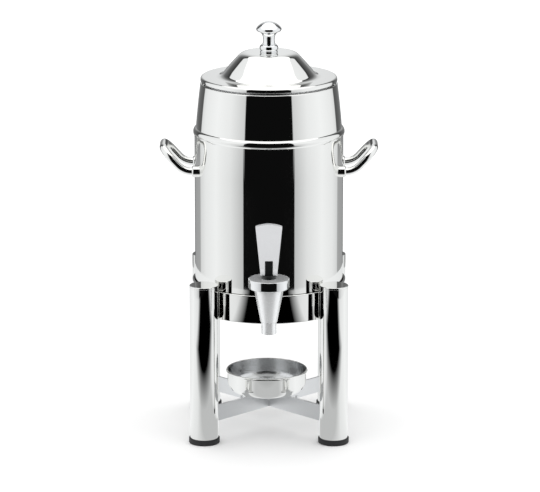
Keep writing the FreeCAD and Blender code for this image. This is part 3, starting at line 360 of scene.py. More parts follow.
def satin_brushed_stainless():
    """Sheet steel with a fine brushed grain: broad soft reflections and faint streaks."""
    finish = bpy.context.scene.urn_finishes
    material, tree, shader, coords = start_material("satin_brushed_stainless", finish.satin_steel, 1, 0.42)
    # The grain is about 0.3 mm, drawn at 0.6 mm so that it shows in the render
    stretched = add_node(tree, "ShaderNodeMapping", {"Scale": (25, 25, per_metre(0.6))},
                         {"Vector": (coords, "Object")})
    grain = add_node(tree, "ShaderNodeTexNoise", {"Scale": 1, "Detail": 4, "Roughness": 0.6},
                     {"Vector": (stretched, "Vector")})
    vary_roughness(tree, shader, grain, 0.38, 0.48, (0.3, 0.7))
    dark = [value * 0.94 for value in finish.satin_steel]
    streaks = add_node(tree, "ShaderNodeMix", {6: (*dark, 1), 7: (*finish.satin_steel, 1)},
                       {0: (grain, "Fac")}, data_type="RGBA")
    tree.links.new(streaks.outputs[2], shader.inputs["Base Color"])
    raise_relief(tree, shader, grain, 0.03)
    return material


def spun_satin_stainless():
    """The inside of a spun bowl: turning lines run round it and draw the reflections out across them."""
    finish = bpy.context.scene.urn_finishes
    material, tree, shader, coords = start_material("spun_satin_stainless", finish.satin_steel, 1, 0.22)
    shader.inputs["Anisotropic"].default_value = 0.6
    shader.inputs["Anisotropic Rotation"].default_value = 0.25
    around = add_node(tree, "ShaderNodeTangent", direction_type="RADIAL", axis="Z")
    tree.links.new(around.outputs["Tangent"], shader.inputs["Tangent"])
    flat = add_node(tree, "ShaderNodeVectorMath", {1: (1, 1, 0)}, {0: (coords, "Object")},
                    operation="MULTIPLY")
    radius = add_node(tree, "ShaderNodeVectorMath", None, {0: (flat, "Vector")}, operation="LENGTH")
    height = add_node(tree, "ShaderNodeSeparateXYZ", None, {"Vector": (coords, "Object")})
    across = add_node(tree, "ShaderNodeCombineXYZ", None, {"X": (radius, "Value"), "Y": (height, "Z")})
    # Turning marks are about 0.5 mm apart, drawn coarser at 1.1 mm and kept faint
    lines = add_node(tree, "ShaderNodeTexNoise", {"Scale": per_metre(1.1), "Detail": 1},
                     {"Vector": (across, "Vector")})
    vary_roughness(tree, shader, lines, 0.18, 0.26, (0.3, 0.7))
    raise_relief(tree, shader, lines, 0.004)
    return material


def bright_chrome_plate():
    """Chrome on cast and turned brass: a cool bright mirror with slight waviness from hand polishing."""
    finish = bpy.context.scene.urn_finishes
    material, tree, shader, coords = start_material("bright_chrome_plate", finish.chrome, 1, 0.03)
    waves = add_node(tree, "ShaderNodeTexNoise", {"Scale": per_metre(9), "Detail": 1},
                     {"Vector": (coords, "Object")})
    vary_roughness(tree, shader, waves, 0.02, 0.06, (0.3, 0.7))
    raise_relief(tree, shader, waves, 0.02, 0.2 * MM)
    return material


def satin_chrome_plate():
    """Chrome over a blasted casting: pale, with soft reflections and a fine even grain."""
    finish = bpy.context.scene.urn_finishes
    material, tree, shader, coords = start_material("satin_chrome_plate", finish.satin_chrome, 0.6, 0.26)
    grain = add_node(tree, "ShaderNodeTexNoise", {"Scale": per_metre(0.5), "Detail": 2},
                     {"Vector": (coords, "Object")})
    vary_roughness(tree, shader, grain, 0.22, 0.3)
    raise_relief(tree, shader, grain, 0.05)
    return material


def turned_steel():
    """Lathe-turned fasteners: fine tool marks and a dull shine."""
    finish = bpy.context.scene.urn_finishes
    material, tree, shader, coords = start_material("turned_steel", finish.fastener_steel, 1, 0.35)
    marks = add_node(tree, "ShaderNodeTexNoise", {"Scale": per_metre(0.7), "Detail": 3},
                     {"Vector": (coords, "Object")})
    vary_roughness(tree, shader, marks, 0.25, 0.5)
    raise_relief(tree, shader, marks, 0.15)
    return material


def mottled(material_name, base, roughness, grain_mm, contrast, strength):
    """A moulded surface: a fine grain, with colour and gloss that drift a little."""
    material, tree, shader, coords = start_material(material_name, base, 0, roughness)
    drift = add_node(tree, "ShaderNodeTexNoise", {"Scale": per_metre(grain_mm * 25), "Detail": 4},
                     {"Vector": (coords, "Object")})
    dark = [value * (1 - contrast) for value in base]
    light = [min(1, value * (1 + contrast)) for value in base]
    tint = add_node(tree, "ShaderNodeMix", {6: (*dark, 1), 7: (*light, 1)}, {0: (drift, "Fac")},
                    data_type="RGBA")
    tree.links.new(tint.outputs[2], shader.inputs["Base Color"])
    vary_roughness(tree, shader, drift, roughness * 0.8, roughness * 1.2)
    grain = add_node(tree, "ShaderNodeTexNoise", {"Scale": per_metre(grain_mm), "Detail": 2},
                     {"Vector": (coords, "Object")})
    raise_relief(tree, shader, grain, strength)
    return material


def moulded_rubber():
    """Black rubber from a mould: matt, with a little dust in its grain."""
    return mottled("moulded_rubber", bpy.context.scene.urn_finishes.foot_rubber, 0.62, 0.6, 0.25, 0.2)


def soft_silicone():
    """Grey silicone seals: soft, with a dull shine."""
    return mottled("soft_silicone", bpy.context.scene.urn_finishes.seal_rubber, 0.5, 0.5, 0.12, 0.1)


def moulded_acetal():
    """Pale acetal from a polished mould: smooth, with a soft shine."""
    return mottled("moulded_acetal", bpy.context.scene.urn_finishes.lever_plastic, 0.3, 0.8, 0.03, 0.04)


def moulded_nylon():
    """Black glass-filled nylon: slightly rough with a low shine."""
    return mottled("moulded_nylon", bpy.context.scene.urn_finishes.black_plastic, 0.42, 0.5, 0.2, 0.12)


FINISH_OF_SLOT = {
    "mirror_steel": mirror_polished_stainless,
    "satin_steel": satin_brushed_stainless,
    "chrome_plate": bright_chrome_plate,
    "fastener_steel": turned_steel,
    "foot_rubber": moulded_rubber,
    "seal_rubber": soft_silicone,
    "pale_plastic": moulded_acetal,
    "black_plastic": moulded_nylon,
}


def finish_of(maker):
    """The material that a function makes, made once."""
    return bpy.data.materials.get(maker.__name__) or maker()


# Modelling

def clear_selection():
    if bpy.context.object and bpy.context.object.mode != "OBJECT":
        bpy.ops.object.mode_set(mode="OBJECT")
    bpy.ops.object.select_all(action="DESELECT")


def bow_points(start, finish, radius):
    """Points inside an arc; its centre is left of the way along, or right if the radius is negative."""
    chord = finish - start
    leftward = Vector((-chord.y, chord.x)).normalized()
    height = math.sqrt(max(0, radius * radius - chord.length_squared / 4))
    centre = (start + finish) / 2 + leftward * math.copysign(height, radius)
    begin = math.atan2(start.y - centre.y, start.x - centre.x)
    turn = 2 * math.asin(min(1, chord.length / 2 / abs(radius))) * math.copysign(1, radius)
    steps = max(FEWEST_BOW_STEPS, math.ceil(abs(turn) / BOW_STEP))
    spots = []
    for step in range(1, steps):
        angle = begin + turn * step / steps
        spots.append(centre + abs(radius) * Vector((math.cos(angle), math.sin(angle))))
    return spots


def outline(corners, closed=True):
    """Points along corners of (across, up) or (across, up, bow radius).

    Long straight runs get a point near each end, which keeps their shading flat.
    """
    points = []
    following = corners[1:] + corners[:1]
    runs = list(zip(corners, following))
    for corner, after in runs if closed else runs[:-1]:
        start = Vector(corner[:2])
        finish = Vector(after[:2])
        points.append(start)
        if len(corner) == 3:
            points += bow_points(start, finish, corner[2])
        elif (finish - start).length > LONG_RUN:
            along = (finish - start).normalized() * HOLD
            points += [start + along, finish - along]
    points.append(Vector(corners[0][:2]) if closed else Vector(corners[-1][:2]))
    return points


def draw_line(name, points, upright):
    """Start a new mesh and extrude one vertex along points; leaves edit mode on with all of it selected."""
    clear_selection()
    bpy.ops.mesh.primitive_plane_add(size=MM)
    piece = bpy.context.object
    piece.name = name
    piece.data.name = name
    bpy.ops.object.mode_set(mode="EDIT")
    bpy.ops.mesh.select_all(action="SELECT")
    bpy.ops.mesh.merge(type="CENTER")
    here = Vector((0, 0, 0))
    for place, point in enumerate(points):
        spot = upright(point)
        step = spot - here
        here = spot
        if place == 0:
            bpy.ops.transform.translate(value=step)
        else:
            bpy.ops.mesh.extrude_vertices_move(TRANSFORM_OT_translate={"value": step})
    bpy.ops.mesh.select_all(action="SELECT")
    return piece


def half_section(point):
    return Vector((point.x, 0, point.y))


def clean_mesh(smooth_angle=SMOOTH_ANGLE):
    """Merge doubles, turn faces outwards and shade what is in edit mode."""
    bpy.ops.mesh.select_all(action="SELECT")
    bpy.ops.mesh.remove_doubles(threshold=MERGE_DISTANCE)
    bpy.ops.mesh.normals_make_consistent(inside=False)
    bpy.ops.object.mode_set(mode="OBJECT")
    bpy.ops.object.shade_smooth_by_angle(angle=smooth_angle)


def turned(name, corners, closed=True, steps=SPIN_STEPS, place=(0, 0, 0), turn=None):
    """Spin a half outline about the Z axis, then set it in its place."""
    piece = draw_line(name, outline(corners, closed), half_section)
    bpy.ops.mesh.spin(steps=steps, angle=2 * math.pi, center=(0, 0, 0), axis=(0, 0, 1))
    clean_mesh()
    settle(piece, place, turn)
    return piece


def settle(piece, place, turn=None):
    """Move a piece to its place and keep the place in its mesh."""
    piece.location = place
    if turn:
        piece.rotation_euler = turn
    clear_selection()
    piece.select_set(True)
    bpy.context.view_layer.objects.active = piece
    bpy.ops.object.transform_apply(location=True, rotation=True, scale=True)


def slab(name, corners, upright, thickness_way):
    """Fill an outline and extrude it to a thickness."""
    piece = draw_line(name, outline(corners), upright)
    bpy.ops.mesh.remove_doubles(threshold=MERGE_DISTANCE)
    bpy.ops.mesh.edge_face_add()
    bpy.ops.mesh.extrude_region_move(TRANSFORM_OT_translate={"value": thickness_way})
    bpy.ops.mesh.select_all(action="SELECT")
    bpy.ops.mesh.normals_make_consistent(inside=False)
    bpy.ops.object.mode_set(mode="OBJECT")
    return piece


def soften(piece, width, segments=3):
    """Round the sharp edges of a piece."""
    bpy.context.view_layer.objects.active = piece
    bevel = piece.modifiers.new("soft_edges", "BEVEL")
    bevel.width = width
    bevel.segments = segments
    bevel.limit_method = "ANGLE"
    bevel.angle_limit = BEVEL_ANGLE
    bevel.use_clamp_overlap = True
    bpy.ops.object.modifier_apply(modifier=bevel.name)
    clear_selection()
    piece.select_set(True)
    bpy.ops.object.shade_smooth_by_angle(angle=SMOOTH_ANGLE)


def join(pieces):
    clear_selection()
    for piece in pieces:
        piece.select_set(True)
    bpy.context.view_layer.objects.active = pieces[0]
    bpy.ops.object.join()
    return pieces[0]


def copy_to(piece, name, shift):
    """A copy with its own mesh, moved by a shift."""
    copy = piece.copy()
    copy.data = piece.data.copy()
    copy.name = name
    copy.data.name = name
    bpy.context.collection.objects.link(copy)
    copy.data.transform(Matrix.Translation(shift))
    return copy


def hand_over(piece, body, slot, maker, *nodes):
    """Give a piece its material, its body and the nodes that it stands for."""
    piece.data.materials.clear()
    piece.data.materials.append(finish_of(maker))
    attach(piece, body)
    if nodes:
        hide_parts(*nodes)
    return piece


# Pieces

class COFFEE_URN_OT_vessel(bpy.types.Operator):
    """Spin the vessel's shell, with its bead and its mouth flange"""

    bl_idname = "coffee_urn.vessel"
    bl_label = "Vessel"

    def execute(self, context):
        size = context.scene.urn_vessel
        wall = size.wall
        shoulder = size.radius - size.shoulder_step
        bead_low = size.bead_height - size.bead_half_width
        bead_high = size.bead_height + size.bead_half_width
        top = cad_size("urn_shell").z
        corner = size.mouth_corner
        neck = size.mouth_outer
        base = size.radius - size.base_corner
        shell = turned("vessel_shell", [
            (0, 0),
            (base, 0, size.base_corner),
            (size.radius, size.base_corner),
            (size.radius, bead_low, size.bead_bow),
            (shoulder, bead_high, size.taper_bow),
            (neck, top - corner, corner),
            (neck - corner, top),
            (size.mouth_inner, top),
            (size.mouth_inner, top - wall),
            (neck - corner, top - wall, wall - corner),
            (neck - wall, top - corner, -size.taper_bow),
            (shoulder - wall, bead_high, -size.bead_bow),
            (size.radius - wall, bead_low),
            (size.radius - wall, size.base_corner, wall - size.base_corner),
            (base, wall),
            (0, wall),
        ], closed=False, place=(0, 0, cad_low("urn_shell").z))
        hand_over(shell, "urn", "mirror_steel", mirror_polished_stainless, "urn_shell")
        return {"FINISHED"}


class COFFEE_URN_OT_handles(bpy.types.Operator):
    """Bend the two loop handles from rod"""

    bl_idname = "coffee_urn.handles"
    bl_label = "Side handles"

    def execute(self, context):
        for name, side in SIDE_SIGNS.items():
            handle = self.bend_rod(context.scene.urn_vessel, name, side)
            hand_over(handle, "urn", "mirror_steel", mirror_polished_stainless, f"side_handle_{name}")
        return {"FINISHED"}

    def bend_rod(self, size, name, side):
        """Extrude a ring from corner to corner, and spin it round each bend."""
        level = cad_middle(f"handle_ferrule_front_{name}").z
        wall = math.sqrt(size.radius ** 2 - size.handle_half_span ** 2)
        span = size.handle_half_span
        corners = [
            Vector((side * wall, -span, level)),
            Vector((side * size.handle_knee, -span, level)),
            Vector((side * size.handle_reach, -span, level + size.handle_rise)),
            Vector((side * size.handle_reach, span, level + size.handle_rise)),
            Vector((side * size.handle_knee, span, level)),
            Vector((side * wall, span, level)),
        ]
        bends = [size.knee_bend, size.tip_bend, size.tip_bend, size.knee_bend]
        clear_selection()
        bpy.ops.mesh.primitive_circle_add(vertices=ROD_SIDES, radius=size.rod_radius)
        rod = bpy.context.object
        rod.name = f"handle_loop_{name}"
        rod.data.name = rod.name
        settle(rod, corners[0], (0, math.pi / 2, 0))
        bpy.ops.object.mode_set(mode="EDIT")
        bpy.ops.mesh.select_all(action="SELECT")
        here = corners[0]
        for before, corner, after, bend in zip(corners, corners[1:], corners[2:], bends):
            coming = (corner - before).normalized()
            leaving = (after - corner).normalized()
            turn = coming.angle(leaving)
            start = corner - coming * bend * math.tan(turn / 2)
            bpy.ops.mesh.extrude_region_move(TRANSFORM_OT_translate={"value": start - here})
            axis = coming.cross(leaving).normalized()
            centre = start + axis.cross(coming) * bend
            bpy.ops.mesh.spin(steps=BEND_STEPS, angle=-turn, center=centre, axis=axis)
            here = corner + leaving * bend * math.tan(turn / 2)
        bpy.ops.mesh.extrude_region_move(TRANSFORM_OT_translate={"value": corners[-1] - here})
        bpy.ops.mesh.select_all(action="SELECT")
        bpy.ops.mesh.fill_holes(sides=0)
        clean_mesh()
        return rod


class COFFEE_URN_OT_ferrules(bpy.types.Operator):
    """Turn the round ferrules at the handle roots"""

    bl_idname = "coffee_urn.ferrules"
    bl_label = "Handle ferrules"

    def execute(self, context):
        size = context.scene.urn_vessel
        bore = size.rod_radius - size.ferrule_grip
        for name, side in SIDE_SIGNS.items():
            for end_name in END_NAMES:
                node = f"handle_ferrule_{end_name}_{name}"
                radius = cad_size(node).z / 2
                reach = cad_size(node).x
                middle = cad_middle(node)
                foot = cad_low(node).x if side > 0 else cad_high(node).x
                ferrule = turned(f"handle_collar_{end_name}_{name}", [
                    (bore, 0),
                    (radius, 0),
                    (radius, reach - size.ferrule_edge, size.ferrule_edge),
                    (radius - size.ferrule_edge, reach),
                    (bore, reach),
                ], steps=SMALL_SPIN_STEPS, place=(foot, middle.y, middle.z), turn=(0, side * math.pi / 2, 0))
                hand_over(ferrule, "urn", "mirror_steel", mirror_polished_stainless, node)
        return {"FINISHED"}


class COFFEE_URN_OT_lid(bpy.types.Operator):
    """Spin the lid, its knob and the washer under the knob"""

    bl_idname = "coffee_urn.lid"
    bl_label = "Lid and knob"

    def execute(self, context):
        size = context.scene.urn_lid
        self.spin_lid(size)
        self.turn_knob(size)
        return {"FINISHED"}

    def spin_lid(self, size):
        wall = size.wall
        outer = size.radius
        brim = size.brim_height
        rolled = outer - size.brim_roll
        roll_low = brim - size.brim_roll
        foot = size.brim_inner - size.flare_run
        foot_height = brim + size.flare_rise
        top = brim + size.dome_height
        edge = top - size.plateau_drop
        shoulder = top - size.shoulder_drop
        lid = turned("lid_dome", [
            (0, top - wall),
            (size.plateau_radius - wall, edge - wall, -size.shoulder_bow),
            (size.shoulder_radius - wall, shoulder - wall, -size.flank_bow),
            (foot - wall, foot_height - wall, size.flare_bow),
            (size.brim_inner - wall, brim - wall),
            (rolled - wall, brim - wall, -size.brim_roll),
            (outer - wall, roll_low - wall),
            (outer - wall, size.seam),
            (outer - size.edge_roll, size.seam, size.edge_roll),
            (outer, size.seam + size.edge_roll),
            (outer, roll_low, size.brim_roll),
            (rolled, brim),
            (size.brim_inner, brim, -size.flare_bow),
            (foot, foot_height, size.flank_bow),
            (size.shoulder_radius, shoulder, size.shoulder_bow),
            (size.plateau_radius, edge),
            (0, top),
        ], closed=False, place=(0, 0, cad_low("lid_shell").z))
        hand_over(lid, "lid", "mirror_steel", mirror_polished_stainless, "lid_shell")

    def turn_knob(self, size):
        foot = cad_low("lid_knob").z
        height = cad_size("lid_knob").z
        crown = size.knob_crown
        bulge = size.knob_bulge_height
        throat = bulge + size.knob_neck_length
        underside = throat + size.knob_underside_rise
        crown_foot = height - crown
        crown_bow = (size.knob_head ** 2 + crown ** 2) / (2 * crown)
        knob = turned("knob", [
            (0, 0),
            (size.knob_base, 0, size.knob_bulge_bow),
            (size.knob_neck, bulge, -size.knob_neck_bow),
            (size.knob_throat, throat, -size.knob_underside_bow),
            (size.knob_underside, underside, size.knob_edge_bow),
            (size.knob_head, crown_foot, crown_bow),
            (0, height),
        ], closed=False, steps=SMALL_SPIN_STEPS, place=(0, 0, foot))
        hand_over(knob, "lid", "chrome_plate", bright_chrome_plate, "lid_knob")
        washer_size = cad_size("knob_washer")
        radius = washer_size.x / 2
        thick = washer_size.z
        edge = size.washer_edge
        washer = turned("knob_rosette", [
            (0, 0),
            (radius, 0),
            (radius, thick - edge, edge),
            (radius - edge, thick),
            (0, thick),
        ], closed=False, steps=SMALL_SPIN_STEPS, place=(0, 0, cad_low("knob_washer").z))
        hand_over(washer, "lid", "chrome_plate", bright_chrome_plate, "knob_washer")


class COFFEE_URN_OT_faucet(bpy.types.Operator):
    """Turn the faucet's body, bonnet and bushing"""

    bl_idname = "coffee_urn.faucet"
    bl_label = "Faucet"

    def execute(self, context):
        size = context.scene.urn_faucet
        axis = cad_middle("faucet_bonnet")
        self.turn_body(size, axis)
        self.turn_bonnet(size, axis)
        self.turn_bushing(size, axis)
        return {"FINISHED"}

    def turn_body(self, size, axis):
        cone_top = size.nozzle_length + size.cone_length
        top = cad_size("faucet_body").z
        lip = size.spout_lip
        rim = size.cone_rim
        base = cad_low("faucet_body").z
        cone = turned("faucet_cone", [
            (size.outlet_radius, 0),
            (size.nozzle_radius - lip, 0, lip),
            (size.nozzle_radius, lip),
            (size.nozzle_radius, size.nozzle_length),
            (size.cone_foot - lip, size.nozzle_length, lip),
            (size.cone_foot, size.nozzle_length + lip),
            (size.cone_top, cone_top - rim, rim),
            (size.cone_top - rim, cone_top),
            (size.neck_radius, cone_top),
            (size.neck_radius, top),
            (size.chamber_radius, top),
            (size.chamber_radius, size.seat_height),
            (size.outlet_radius, size.seat_height),
        ], steps=SPIN_STEPS, place=(0, axis.y, base))
        branch = turned("faucet_branch", [
            (size.boss_bore, size.boss_reach - size.boss_depth),
            (size.boss_radius - size.boss_step, size.boss_root),
            (size.boss_radius, size.boss_root),
            (size.boss_radius, size.boss_reach - rim, rim),
            (size.boss_radius - rim, size.boss_reach),
            (size.boss_bore, size.boss_reach),
        ], steps=SMALL_SPIN_STEPS, place=(0, axis.y, base + size.boss_height), turn=(-math.pi / 2, 0, 0))
        body = join([cone, branch])
        hand_over(body, "urn", "chrome_plate", satin_chrome_plate, "faucet_body")

    def turn_bonnet(self, size, axis):
        radius = cad_size("faucet_bonnet").x / 2
        height = cad_size("faucet_bonnet").z
        hole = size.stem_radius + size.bonnet_play
        crown = height - size.bonnet_roof
        # The round above the bevel runs into the upright rim
        roll = size.bonnet_roll
        roll_run = roll / 2
        roll_bow = (roll ** 2 + roll_run ** 2) / (2 * roll_run)
        bonnet = turned("faucet_cap", [
            (size.bonnet_bore, 0),
            (size.bonnet_foot, 0),
            (radius - roll_run, size.bonnet_bevel, roll_bow),
            (radius, size.bonnet_bevel + roll),
            (radius, height - size.bonnet_edge, size.bonnet_edge),
            (radius - size.bonnet_edge, height),
            (hole, height),
            (hole, crown),
            (size.bonnet_hollow, crown),
            (size.bonnet_hollow, size.bonnet_depth),
            (size.bonnet_bore, size.bonnet_depth),
        ], place=(0, axis.y, cad_low("faucet_bonnet").z))
        hand_over(bonnet, "urn", "chrome_plate", bright_chrome_plate, "faucet_bonnet")
        # Without this the wall behind shows a pale double of the bonnet
        bonnet.visible_glossy = False
        bonnet.data.materials.append(finish_of(satin_chrome_plate))
        for face in bonnet.data.polygons:
            if face.normal.z > FLAT_TOP_NORMAL:
                face.material_index = 1

    def turn_bushing(self, size, axis):
        radius = cad_size("stem_bushing").x / 2
        height = cad_size("stem_bushing").z
        hole = size.stem_radius + size.gland_play
        edge = size.gland_edge
        bushing = turned("stem_gland", [
            (hole, 0),
            (radius, 0),
            (radius, height - edge, edge),
            (radius - edge, height),
            (hole, height),
        ], steps=SMALL_SPIN_STEPS, place=(0, axis.y, cad_low("stem_bushing").z))
        hand_over(bushing, "urn", "black_plastic", moulded_nylon, "stem_bushing")


class COFFEE_URN_OT_lever(bpy.types.Operator):
    """Cut the lever's paddle, fork and cam feet"""

    bl_idname = "coffee_urn.lever"
    bl_label = "Lever"

    def execute(self, context):
        size = context.scene.urn_faucet
        pin = cad_middle("lever_pin")
        top = cad_high("faucet_lever").z - pin.z
        shoulder = top - size.lever_crown
        half = size.lever_thickness / 2
        slot = size.slot_half_width
        paddle = slab("lever_paddle", [
            (slot, -size.fork_drop),
            (size.lever_foot, -size.fork_drop),
            (size.lever_foot + size.fork_flare, size.fork_flare_height),
            (size.lever_top, shoulder, size.lever_crown_bow),
            (-size.lever_top, shoulder),
            (-size.lever_foot - size.fork_flare, size.fork_flare_height),
            (-size.lever_foot, -size.fork_drop),
            (-slot, -size.fork_drop),
            (-slot, size.slot_height),
            (slot, size.slot_height),
        ], lambda point: Vector((point.x, pin.y - half, pin.z + point.y)), Vector((0, 2 * half, 0)))
        soften(paddle, size.lever_edge, 4)
        feet = [self.cam_foot(size, pin, side) for side in SIDE_SIGNS.values()]
        lever = join([paddle, *feet])
        hand_over(lever, "lever", "pale_plastic", moulded_acetal, "faucet_lever")
        # Without this the wall behind shows a pale double of the lever
        lever.visible_glossy = False
        return {"FINISHED"}

    def cam_foot(self, size, pin, side):
        """One rounded foot of the fork."""
        radius = size.cam_radius
        inner = size.slot_half_width
        outer = size.lever_foot - size.cam_inset
        start = inner if side > 0 else -outer
        foot = slab("lever_foot", [
            (-size.cam_lead, -radius),
            (size.cam_trail, -radius, radius),
            (size.cam_trail + radius, 0, radius),
            (size.cam_trail, radius),
            (-size.cam_lead, radius, radius),
            (-size.cam_lead - radius, 0, radius),
        ], lambda point: Vector((start, pin.y + point.x, pin.z + point.y)), Vector((outer - inner, 0, 0)))
        soften(foot, size.cam_edge, 2)
        return foot


class COFFEE_URN_OT_legs(bpy.types.Operator):
    """Turn the leg tubes, their caps and their rubber feet"""

    bl_idname = "coffee_urn.legs"
    bl_label = "Legs and feet"

    def execute(self, context):
        size = context.scene.urn_stand
        first = LEG_NAMES[0]
        home = cad_middle(f"leg_tube_{first}")
        place = Vector((home.x, home.y, 0))
        makers = (
            ("leg_pipe", "leg_tube", self.turn_tube, "mirror_steel", mirror_polished_stainless),
            ("leg_lid", "leg_cap", self.turn_cap, "mirror_steel", mirror_polished_stainless),
            ("foot_pad", "rubber_foot", self.turn_foot, "foot_rubber", moulded_rubber),
        )
        for piece_name, node, maker, slot, finish in makers:
            model = maker(size, f"{piece_name}_{first}", place)
            pieces = {first: model}
            for name in LEG_NAMES[1:]:
                shift = cad_middle(f"leg_tube_{name}") - home
                pieces[name] = copy_to(model, f"{piece_name}_{name}", Vector((shift.x, shift.y, 0)))
            for name, piece in pieces.items():
                hand_over(piece, "stand", slot, finish, f"{node}_{name}")
        return {"FINISHED"}

    def turn_tube(self, size, name, place):
        low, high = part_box("leg_tube_front_left")
        radius = (high.x - low.x) / 2
        inner = radius - size.leg_wall
        edge = size.tube_edge
        return turned(name, [
            (inner, low.z),
            (radius - edge, low.z, edge),
            (radius, low.z + edge),
            (radius, high.z - edge, edge),
            (radius - edge, high.z),
            (inner, high.z),
        ], place=place)

    def turn_cap(self, size, name, place):
        low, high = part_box("leg_cap_front_left")
        radius = (high.x - low.x) / 2
        plug = radius - size.leg_wall - size.plug_play
        seat = low.z + size.cap_plug
        seam = size.cap_seam
        return turned(name, [
            (0, low.z),
            (plug, low.z),
            (plug, seat),
            (radius - seam, seat, seam),
            (radius, seat + seam),
            (radius, high.z - size.cap_edge, size.cap_edge),
            (radius - size.cap_edge, high.z),
            (0, high.z),
        ], closed=False, place=place)

    def turn_foot(self, size, name, place):
        low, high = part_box("rubber_foot_front_left")
        radius = (high.x - low.x) / 2
        plug = cad_size("leg_tube_front_left").x / 2 - size.leg_wall - size.plug_play
        rim = size.foot_rim
        return turned(name, [
            (0, size.foot_recess_depth),
            (size.foot_recess, size.foot_recess_depth),
            (size.foot_recess, 0),
            (radius - size.foot_edge, 0, size.foot_edge),
            (radius, size.foot_edge),
            (radius, size.foot_height - rim, rim),
            (radius - rim, size.foot_height),
            (plug, size.foot_height),
            (plug, high.z),
            (0, high.z),
        ], closed=False, place=place)


class COFFEE_URN_OT_ring(bpy.types.Operator):
    """Roll the support ring with its ledge, and weld the plates where they cross"""

    bl_idname = "coffee_urn.ring"
    bl_label = "Support ring and weld"

    def execute(self, context):
        size = context.scene.urn_stand
        low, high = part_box("support_ring")
        outer = (high.x - low.x) / 2
        inner = outer - size.ring_wall
        height = high.z - low.z
        ledge = inner - size.ledge_width
        lip = size.ring_lip
        ring = turned("seat_ring", [
            (ledge, 0),
            (outer - lip, 0, lip),
            (outer, lip),
            (outer, height - lip, lip),
            (outer - lip, height),
            (inner, height),
            (inner, size.ring_wall),
            (ledge, size.ring_wall),
        ], place=(0, 0, low.z))
        hand_over(ring, "stand", "mirror_steel", mirror_polished_stainless, "support_ring")
        self.weld_plates(size)
        return {"FINISHED"}

    def weld_plates(self, size):
        """A bead of weld in the corner that faces the camera, where the plates cross."""
        foot = cad_low("cross_plate_upper").z + size.weld_rise
        radius = size.weld_radius
        weld = turned("plate_weld", [
            (0, 0),
            (radius - size.weld_round, 0, size.weld_round),
            (radius, size.weld_round),
            (radius, size.weld_height - size.weld_round, size.weld_round),
            (radius - size.weld_round, size.weld_height),
            (0, size.weld_height),
        ], closed=False, steps=SMALL_SPIN_STEPS, place=(0, -size.weld_offset, foot))
        hand_over(weld, "stand", "satin_steel", mirror_polished_stainless)


class COFFEE_URN_OT_bowl(bpy.types.Operator):
    """Spin the fuel bowl with its rolled lip"""

    bl_idname = "coffee_urn.bowl"
    bl_label = "Fuel bowl"

    def execute(self, context):
        size = context.scene.urn_stand
        low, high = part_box("fuel_bowl")
        height = high.z - low.z
        radius = size.bowl_radius
        inside = radius - size.bowl_wall
        flat = radius - size.bowl_corner
        lip = size.bowl_lip
        edge = size.bowl_inner_edge
        middle = cad_middle("fuel_bowl")
        bowl = turned("spun_bowl", [
            (0, 0),
            (flat, 0, size.bowl_corner),
            (radius, size.bowl_corner),
            (radius, height - 2 * lip, lip),
            (radius + lip, height - lip, lip),
            (radius, height),
            (inside + edge, height, edge),
            (inside, height - edge),
            (inside, size.bowl_corner, size.bowl_wall - size.bowl_corner),
            (flat, size.bowl_wall),
            (0, size.bowl_wall),
        ], closed=False, place=(middle.x, middle.y, low.z))
        hand_over(bowl, "bowl", "satin_steel", mirror_polished_stainless, "fuel_bowl")
        bowl.data.materials.append(finish_of(spun_satin_stainless))
        for face in bowl.data.polygons:
            spoke = face.center - middle
            spoke.z = 0
            faces_in = face.normal.dot(spoke) < 0 or face.normal.z > BOWL_FLOOR_NORMAL
            if faces_in and face.center.z < high.z - size.bowl_lip:
                face.material_index = 1
        return {"FINISHED"}


class COFFEE_URN_OT_fittings(bpy.types.Operator):
    """Finish the plates, fasteners, seals and valve parts that come from the frame"""

    bl_idname = "coffee_urn.fittings"
    bl_label = "Frame pieces"

    def execute(self, context):
        for part in frame["record"]["subparts"]:
            node = frame["nodes"][part["node"]]
            if node.hide_render:
                continue
            node.data.materials.clear()
            node.data.materials.append(finish_of(FINISH_OF_SLOT[part["material_slot"]]))
        return {"FINISHED"}


# Stage

